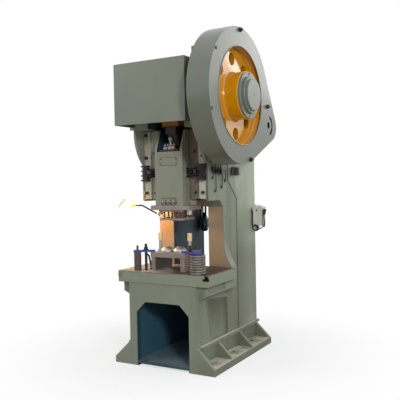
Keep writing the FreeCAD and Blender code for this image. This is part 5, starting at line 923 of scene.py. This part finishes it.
def solids(node):
    """The lowest and highest corners of each separate solid in a node."""
    work = bmesh.new()
    work.from_mesh(frame["nodes"][node].data)
    bmesh.ops.remove_doubles(work, verts=work.verts, dist=WELD)
    left, found = set(work.verts), []
    while left:
        front, island = [left.pop()], []
        while front:
            point = front.pop()
            island.append(point.co.copy())
            for edge in point.link_edges:
                other = edge.other_vert(point)
                if other in left:
                    left.remove(other)
                    front.append(other)
        found.append(tuple(Vector(pick(p[i] for p in island) for i in range(3))
                           for pick in (min, max)))
    work.free()
    return sorted(found, key=lambda pair: tuple(round(c, 4) for c in pair[0]))


# %% [markdown]
# ## The belt guard
# The guard is sheet steel: a band bent round the belts, and a flat face on it. A rod edges its
# round opening, three black knobs hold the face, and two screws at the front were painted
# over with the guard. A curve with a round section could make the rod, but an outline that is
# spun keeps it flat against the sheet. The heads stand where the model has its screws.

# %% Rim of the guard's opening
face_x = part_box("guard_face")[1][0]
wheel = middle(*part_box("flywheel"))
OPENING_R = 0.347
rim = spin([(-0.006, OPENING_R - 0.001), (-0.006, OPENING_R + 0.006), (0.004, OPENING_R + 0.006),
            (0.004, OPENING_R - 0.001)], (face_x, wheel.y, wheel.z), steps=128, ease=0.004)
register("guard_rim", rim, "guard_paint", "machine")

# %% Knobs, painted screws and handle
ON_GUARD, KNOB_FRONT = 0.5, -0.45
spots = [(face_x, *middle(low, high).yz) for low, high in solids("cover_screws")
         if low.x > ON_GUARD]
knobs = [spot for spot in spots if spot[1] > KNOB_FRONT]
painted = [spot for spot in spots if spot[1] <= KNOB_FRONT]
fasten("guard_knobs", knobs, RIGHT, 0.027, 0.016, end=0.010)
fasten("guard_screws", painted, RIGHT, 0.018, 0.007, "guard_paint")
_, y, z = max(knobs, key=lambda spot: spot[1])
handle = drawn(pipes, [[(face_x + 0.016, y - 0.034, z - 0.002), (face_x + 0.019, y, z),
                        (face_x + 0.016, y + 0.030, z + 0.002)]], "black_steel",
               radius=0.006, bend=0.01)
register("guard_handle", handle, "black_steel", "machine")
print(len(knobs), "knobs and", len(painted), "painted screws on the guard")

# %% [markdown]
# ## The ram
# A silver grease fitting stands on a block in the ram's open pocket, in front of the screw.
# The plate on the ram's front is held by four rivets, and three large nuts below it hold the
# shank of the upper die. Rivets and nuts come from the patterns, at places taken from the
# model's plate and bolts. The fitting is too small to need more than its outline, so it is
# turned in one piece and joined with two blocks, three nuts and a bent pipe.

# %% Rivets of the plate
(x0, y0, z0), (x1, _, z1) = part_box("name_plate")
INSET, PROUD = 0.007, 0.0003
rivets = [(x, y0 - PROUD, z) for x in (x0 + INSET, x1 - INSET) for z in (z0 + INSET, z1 - INSET)]
register("plate_rivets", grow(domes, rivets, out=[FRONT] * len(rivets), radius=0.0042,
                              rise=0.003, finish=FINISH["black_steel"]), "black_steel", "ram")

# %% Grease fitting in the pocket
cap_low, cap_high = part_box("ball_cap")
x, y, top = 0.012, cap_low[1] + 0.016, cap_high[2]
block = joined(bar((-0.052, y - 0.008, top), (-0.020, y + 0.018, top + 0.024)),
               bar((-0.012, y - 0.010, top), (0.048, y + 0.020, top + 0.026)))
fitting = spin([(0, 0), (0, 0.012), (0.012, 0.012), (0.012, 0.008), (0.034, 0.008),
                (0.036, 0.015), (0.046, 0.018), (0.060, 0.017), (0.070, 0.009), (0.072, 0)],
               (x, y, top + 0.029), "Z", 32)
nuts = headed([(side, y + 0.002, top + 0.030) for side in (-0.040, -0.014, 0.040)], UP,
              "bright_steel", across=0.018, rise=0.010, end=0.006)
elbow = drawn(pipes, [[(x, y + 0.006, top + 0.080), (x, y + 0.034, top + 0.086),
                       (x, y + 0.046, top + 0.052)]], "bright_steel", radius=0.004, bend=0.012)
register("ball_oiler", joined(block, fitting, nuts, elbow), "ground_steel", "ram")

# %% Nuts of the shank clamp
CLAMP_FRONT = -0.36
shank_nuts = [(middle(low, high).x, high.y, middle(low, high).z)
              for low, high in solids("ram_bolts") if high.y < CLAMP_FRONT]
fasten("shank_nuts", shank_nuts, FRONT, 0.031, 0.020, "ground_steel", "ram", 0.010)
print(len(rivets), "rivets,", len(shank_nuts), "shank nuts")

# %% [markdown]
# ## The gib clamps
# Each gib is pressed to the ram by a stack of clamping plates on three short studs that run
# to the column. The solid model has a plain block there, so this piece replaces it with the
# plates, the studs and their threads. Cuts in a block would look alike, but the plates also
# stand in and out by turns. One side is built, and mirrored for the other.

# %% Gib clamp stacks
gib_low, gib_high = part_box("gib_clamps")
_, y, z = middle(gib_low, gib_high)
PLATES, GAP, NECK, COLLAR, IN_AND_OUT = 7, 0.004, 0.216, 0.186, 0.006
INNER, STUD_R, STUD_Y, STUDS = 0.136, 0.0085, y - 0.010, (z - 0.020, z, z + 0.020)
pitch = (gib_high[2] - gib_low[2] + GAP) / PLATES
stack = []
for i in range(PLATES):
    low, inset = gib_low[2] + i * pitch, IN_AND_OUT * (i % 2)
    stack.append(bar((NECK + inset, gib_low[1] + inset, low),
                     (gib_high[0] - inset, gib_high[1], low + pitch - GAP)))
stack.append(spin([(COLLAR, 0), (COLLAR, 0.026), (COLLAR + 0.010, 0.036), (NECK, 0.036),
                   (NECK, 0)], (0, y - 0.004, z), "X", 12))
for height in STUDS:
    stack.append(spin([(INNER, 0), (INNER, STUD_R), (COLLAR + 0.004, STUD_R),
                       (COLLAR + 0.004, 0)], (0, STUD_Y, height), "X", 16, 0.001))
    stack.append(drawn(threads, [[(INNER + 0.004, STUD_Y, height), (COLLAR, STUD_Y, height)]],
                       "black_steel", radius=STUD_R + 0.001, pitch=0.004))
register("gib_clamp_stacks", mirrored(joined(*stack)), "black_steel", "machine", ["gib_clamps"])
print(2 * PLATES, "clamping plates on", 2 * len(STUDS), "studs")

# %% [markdown]
# ## The side panels of the column
# The column is closed by stepped plates, and a dark bead runs along their edges. It is a thin
# line along five corners on each side, so the pipe pattern draws it, where a groove in the
# casting would need far more faces. The lifting hole has a dark rubber edge, made of three
# blocks, and a pale turned plug beside it.

# %% Panel beads
SIDE_X = 0.2905
STEPPED = [(0.025, 1.646), (0.025, 1.375), (0.058, 1.342), (0.175, 1.231), (0.175, 0.181)]
seam = drawn(pipes, [[(SIDE_X, y, z) for y, z in STEPPED]], "black_steel", radius=0.0026,
             bend=0.006)
register("panel_beads", mirrored(seam), "black_steel", "machine")

# %% Edging and plug of the lifting hole
HOLE = [(0.131, 1.423), (0.208, 1.471)]
(y0, z0), (y1, z1) = HOLE
EDGE_X, EDGE_OUT = 0.2895, 0.2955
rubber = joined(bar((EDGE_X, y0 - 0.038, z0 - 0.008), (EDGE_OUT, y0 - 0.0005, z1 + 0.008)),
                bar((EDGE_X, y0 - 0.030, z1 + 0.0005), (EDGE_OUT, y1 + 0.004, z1 + 0.009)),
                bar((EDGE_X, y0 - 0.030, z0 - 0.009), (EDGE_OUT, y1 + 0.004, z0 - 0.0005)))
register("hole_edging", mirrored(rubber), "belt_rubber", "machine")
plug = spin([(EDGE_X - 0.006, 0), (EDGE_X - 0.006, 0.030), (EDGE_X + 0.010, 0.030),
             (EDGE_X + 0.012, 0.024), (EDGE_X + 0.012, 0)],
            (0, y1 + 0.032, (z0 + z1) / 2), "X", 40)
register("hole_plugs", mirrored(plug), "tank_paint", "machine", finish="machine_paint")

# %% [markdown]
# ## The hand lubricator
# The tank with its pump is one of the things that catch the eye at the back of the column. It
# gets what the plain solid lacks: two filler caps, dark bars at its sides, the screws of its
# cover and a ring nut where the lever turns. Caps and ring nut are turned on the real one, so
# they are spun here too, and the nut's twelve sides serve as its flats.

# %% Lubricator fittings
tank_low, tank_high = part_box("lubricator")
pump = Vector(joint_of["oiler_lever_pull"]["pos_m"])
front, CAP_Y = tank_low[1] + 0.0025, 0.505
caps = joined(*[spin([(0, 0), (0, r), (h * 0.5, r), (h * 0.62, r * 0.8), (h, r * 0.72), (h, 0)],
                     (x, CAP_Y, tank_high[2] - 0.001), "Z", 28, 0.0015)
                for x, r, h in ((0.312, 0.015, 0.020), (0.352, 0.019, 0.014))])
register("lubricator_caps", caps, "tank_paint", "machine")
strips = joined(bar((tank_low[0] + 0.006, front - 0.006, tank_low[2] + 0.040),
                    (tank_low[0] + 0.016, front + 0.004, tank_high[2] - 0.024)),
                bar((tank_high[0] - 0.004, front + 0.004, tank_low[2] + 0.030),
                    (tank_high[0] + 0.003, front + 0.050, tank_high[2] - 0.022)))
register("lubricator_bars", strips, "belt_rubber", "machine")
ring_nut = spin([(-0.014, 0.017), (-0.014, 0.026), (0.004, 0.029), (0.004, 0.017)],
                (pump.x, front - 0.002, pump.z), "Y", 12, 0.0015)
register("pump_ring", ring_nut, "black_steel", "machine")
fasten("lubricator_screws", [(pump.x + 0.010, front, tank_high[2] - 0.030),
                             (pump.x - 0.008, front, tank_low[2] + 0.050)], FRONT, 0.010, 0.005)

# %% [markdown]
# ## The air unit
# Behind the open back hangs the filter and regulator of the clutch's air line. The solid is a
# plain cylinder, so it is replaced by a cast body, a black bowl, a round gauge and a knob, all
# turned. The two hoses that come down from the column are drawn with the pipe pattern, whose
# rounded corners do for the sag of a short hose.

# %% Body, bowl, gauge and knob
air_low, air_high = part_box("air_unit")
x, y, _ = middle(air_low, air_high)
BODY_LOW, BODY_HIGH, GAUGE_Z = 0.956, 1.068, 0.988
casing = spin([(BODY_LOW, 0), (BODY_LOW, 0.028), (0.966, 0.035), (1.046, 0.035), (1.054, 0.026),
               (BODY_HIGH, 0.026), (BODY_HIGH, 0)], (x, y, 0), "Z", 40)
register("air_unit_body", casing, "fitting_metal", "machine", ["air_unit"], finish="valve_paint")
bowl = spin([(air_low[2], 0), (air_low[2], 0.014), (0.940, 0.028), (0.957, 0.030), (0.957, 0)],
            (x, y, 0), "Z", 32)
gauge = spin([(-0.012, 0), (-0.012, 0.015), (0.006, 0.016), (0.006, 0)],
             (x + 0.008, y - 0.037, GAUGE_Z), "Y", 32, 0.0015)
knob = spin([(1.066, 0), (1.066, 0.020), (1.096, 0.017), (1.100, 0)], (x, y, 0), "Z", 24)
register("air_unit_black", joined(bowl, gauge, knob), "grip_plastic", "machine")

# %% Hoses of the air unit
front_hose = [(x - 0.010, y - 0.028, 1.020), (x - 0.024, y - 0.034, 1.060),
              (x - 0.022, y - 0.030, 1.140), (x - 0.004, y - 0.006, air_high[2])]
back_hose = [(x + 0.020, y - 0.030, 1.040), (x + 0.028, y - 0.030, 1.100),
             (x + 0.020, y - 0.014, 1.150), (x + 0.008, y, air_high[2])]
register("air_hoses", drawn(pipes, [front_hose, back_hose], "belt_rubber", radius=0.0085,
                            bend=0.020), "belt_rubber", "machine")

# %% [markdown]
# ## The oil pipes
# Each thin copper pipe ends in a hexagon union where it enters the column, and the
# manifold has a bright plug for each of them. Both are hexagons on a washer, so the screw
# pattern makes them, and the pipes of the model say where they stand.

# %% Unions and plugs
oil_low, oil_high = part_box("oil_distributor")
PIPES, FIRST_PIPE, PIPE_PITCH = 4, 0.020, 0.040
UNION_X, STRAIGHT, PIPE_R = 0.291, 0.02, 0.004
pipe_y = [oil_low[1] + FIRST_PIPE + PIPE_PITCH * i for i in range(PIPES)]
unions = []
for low, high in solids("oil_pipes"):
    y = (low.y + high.y) / 2 if high.y - low.y < STRAIGHT else high.y - PIPE_R
    unions.append((UNION_X, y, low.z + PIPE_R))
fasten("pipe_unions", unions, RIGHT, 0.014, 0.008, "pipe_metal")
plugs = [(oil_high[0] - 0.010, y, oil_high[2] - 0.010) for y in pipe_y]
fasten("manifold_plugs", plugs, RIGHT, 0.013, 0.008, "bright_steel")
print(len(unions), "unions,", len(plugs), "plugs")

# %% [markdown]
# ## The foot of the column
# An angle runs along the top of each row of gussets, and it is two blocks here because its
# section never changes. A weld runs down beside the side hollow: drops that overlap along a
# line look as a real bead does, and each is a little different. An oily tray closes the base
# from below.

# %% Rails, welds and tray
RAIL_Z, RAIL_FRONT, RAIL_BACK, RAIL_OUT = 0.181, -0.470, 0.544, 0.312
rail = joined(
    bar((0.286, RAIL_FRONT, RAIL_Z - 0.003), (RAIL_OUT, RAIL_BACK, RAIL_Z + 0.006), 0.0025),
    bar((0.306, RAIL_FRONT, RAIL_Z - 0.012), (RAIL_OUT, RAIL_BACK, RAIL_Z), 0.0025))
register("foot_rails", mirrored(rail), "machine_paint", "machine")
BESIDE_HOLLOW = [(-0.357, 0.507), (-0.331, 0.392), (-0.291, 0.228)]
weld = drawn(welds, [[(SIDE_X, y, z) for y, z in BESIDE_HOLLOW]], "machine_paint",
             radius=0.0045, seed=3)
register("side_welds", mirrored(weld), "machine_paint", "machine")
tray = bar((-0.244, -0.452, 0.0008), (0.244, 0.150, 0.0060), 0.0015)
register("base_tray", tray, "black_steel", "machine", finish="oily_tray")

# %% [markdown]
# ## The table
# Four T-slots run out to the corners of the table. The one at the left front is closed by a
# stop, which keeps the clamp studs from sliding out. It has the slot's own section, so it is a
# narrow block on a broad one, made at the origin and then turned into the slot's direction.

# %% Slot stop
table_low, table_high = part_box("bolster")
SLOTS_MEET = Vector((0, -0.302))
corner = Vector((table_low[0], table_low[1]))
inward = (SLOTS_MEET - corner).normalized()
foot_low, foot_high = table_high[2] - 0.042, table_high[2] - 0.025
stop = joined(bar((0.004, -0.0108, foot_high), (0.050, 0.0108, table_high[2] - 0.0006), 0.001),
              bar((0.004, -0.0186, foot_low + 0.0004), (0.050, 0.0186, foot_high), 0.001))
stop.transform(Matrix.Translation((*corner, 0)) @ Matrix.Rotation(
    math.atan2(inward.y, inward.x), 4, "Z"))
register("slot_stop", stop, "table_iron", "machine", finish="machine_paint")

# %% [markdown]
# ## Fittings on the right cheek
# Under the guard a row of black couplings joins the copper pipes to the hoses that come down
# from the head. They are short, so each is one nut of the screw pattern with a long end, and
# a plain clip above it holds the hose to the cheek.

# %% Pipe couplings and clips
PIPE_X, COUPLING_Z, LOWER = 0.302, 1.434, 0.008
couplings = [(PIPE_X, y, COUPLING_Z - LOWER * (i % 2)) for i, y in enumerate(pipe_y)]
fasten("pipe_couplings", couplings, UP, 0.017, 0.030, end=0.016)
clips = joined(*[bar((0.2904, y - 0.013, COUPLING_Z + 0.026),
                     (0.309, y + 0.013, COUPLING_Z + 0.040), 0.002) for y in pipe_y])
register("pipe_clips", clips, "black_steel", "machine")

# %% [markdown]
# ## The white room
# The photograph's background is plain white. A white world would light the machine from all
# sides and wash every shadow out, so the world is white only to the camera and in mirrors,
# and a calm grey as a light. The floor does the same: near the machine it keeps some of its
# own shade and so the shadow, further out it fades into the white, and for light that
# bounces off it, it is a warm grey like an oily workshop floor.


# %% World
def world(calm=0.48):
    """White to the eye and in mirrors, and calm as a light."""
    sky = bpy.data.worlds.new("studio")
    sky.use_nodes = True
    tree = Tree(sky.node_tree)
    tree.tree.nodes.clear()
    seen = None
    for ray in ("Is Camera Ray", "Is Glossy Ray", "Is Transmission Ray"):
        now = tree.node("ShaderNodeLightPath", output=ray)
        seen = seen.most(now) if seen else now
    grey = tree.node("ShaderNodeBackground", inputs={"Color": (0.95, 0.97, 1.0, 1),
                                                     "Strength": calm})
    white = tree.node("ShaderNodeBackground", inputs={"Color": (1, 1, 1, 1), "Strength": 1.0})
    both = tree.node("ShaderNodeMixShader", inputs={0: seen, 1: grey, 2: white})
    tree.node("ShaderNodeOutputWorld", inputs={0: both})
    bpy.context.scene.world = sky
    print("world %s, %.2f strong as a light" % (sky.name, calm))


world()

# %% Floor
FADE_FROM, FADE_TO, SHADOW_KEPT, HALF = 0.6, 1.9, 0.35, 30.0
BOUNCED, SEEN = (0.56, 0.49, 0.42), (0.84, 0.84, 0.84)


def floor():
    """A broad plane that keeps the shadow near the machine and is white further out."""
    f = Finish("floor")
    eye = f.node("ShaderNodeLightPath", output="Is Camera Ray")
    near = 1 - f.span(f.vector("LENGTH", f.where), FADE_FROM, FADE_TO)
    tint = f.mix(eye, BOUNCED, SEEN)
    matt = f.node("ShaderNodeBsdfDiffuse", inputs={"Color": tint})
    glow = f.node("ShaderNodeEmission", inputs={"Color": (1, 1, 1, 1), "Strength": 1.0})
    both = f.node("ShaderNodeMixShader", inputs={
        0: eye * (1 - near * SHADOW_KEPT), 1: matt, 2: glow})
    f.node("ShaderNodeOutputMaterial", inputs={"Surface": both})
    mesh = bpy.data.meshes.new("floor")
    mesh.from_pydata([(-HALF, -HALF, 0), (HALF, -HALF, 0), (HALF, HALF, 0), (-HALF, HALF, 0)],
                     [], [(0, 1, 2, 3)])
    mesh.materials.append(f.material)
    ground = placed("floor", mesh)


floor()
print("floor fades from %.1f to %.1f m" % (FADE_FROM, FADE_TO))

# %% [markdown]
# ## The lamps
# The shadows inside the base show where the strongest light stands: to the right of the
# camera and low. A weaker one comes from the left, a small lamp lights the column's side, one
# overhead keeps the table's edges clear, and a panel behind the machine on the right gives
# the guard and the flywheel their sheen. Suns would be simpler, but their shadows have hard
# edges, and these discs throw the soft ones of a room.

# %% Lamps of the room
MIDDLE, CHEEK, GUARD = (0.1, -0.2, 1.2), (0.3, 0.1, 1.2), (0.5, -0.27, 1.9)
LAMPS = {  # target, azimuth from the front towards +X, height, distance, size and watts
    "key": (MIDDLE, 45, 17, 7.0, 1.0, 216),
    "fill": (MIDDLE, -58, 26, 6.0, 2.5, 90),
    "side": (CHEEK, 100, 27, 2.6, 1.0, 15),
    "overhead": (MIDDLE, 10, 72, 4.5, 2.4, 26),
    "panel": (GUARD, 166, 20, 5.0, 2.4, 42),
}


def aim(thing, place, target):
    """Puts a lamp in a place and turns it to its target."""
    thing.location = place
    thing.rotation_euler = (Vector(target) - Vector(place)).to_track_quat("-Z", "Y").to_euler()


for name, (target, azimuth, height, away, size, power) in LAMPS.items():
    a, e = math.radians(azimuth), math.radians(height)
    light = bpy.data.lights.new(name, "AREA")
    light.shape, light.size, light.energy = "DISK", size, power
    aim(placed(name, light), Vector(target) + away * Vector((
        math.sin(a) * math.cos(e), -math.cos(a) * math.cos(e), math.sin(e))), target)
    print("%-9s %4d W" % (name, power))

# %% [markdown]
# ## The machine's own lamp
# A warm bulb burns inside the shade. One lamp with a cone alone would leave its socket and
# the gib beside it dark, so a weaker one in the same place shines all round.

# %% Bulb
WARM, INTO_DIES = (1.0, 0.44, 0.13), Vector((0.02, 0.10, 1.08))
bulb_spot = middle(*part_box("lamp_bulb")) + Vector((0.030, 0, -0.012))
for kind, power in (("SPOT", 9.0), ("POINT", 4.0)):
    bulb = bpy.data.lights.new("bulb", kind)
    bulb.energy, bulb.color, bulb.shadow_soft_size = power, WARM, 0.02
    if kind == "SPOT":
        bulb.spot_size, bulb.spot_blend = math.radians(118), 0.7
    aim(placed("bulb", bulb), bulb_spot, INTO_DIES)
    print("bulb, %s, %d W" % (kind.lower(), power))
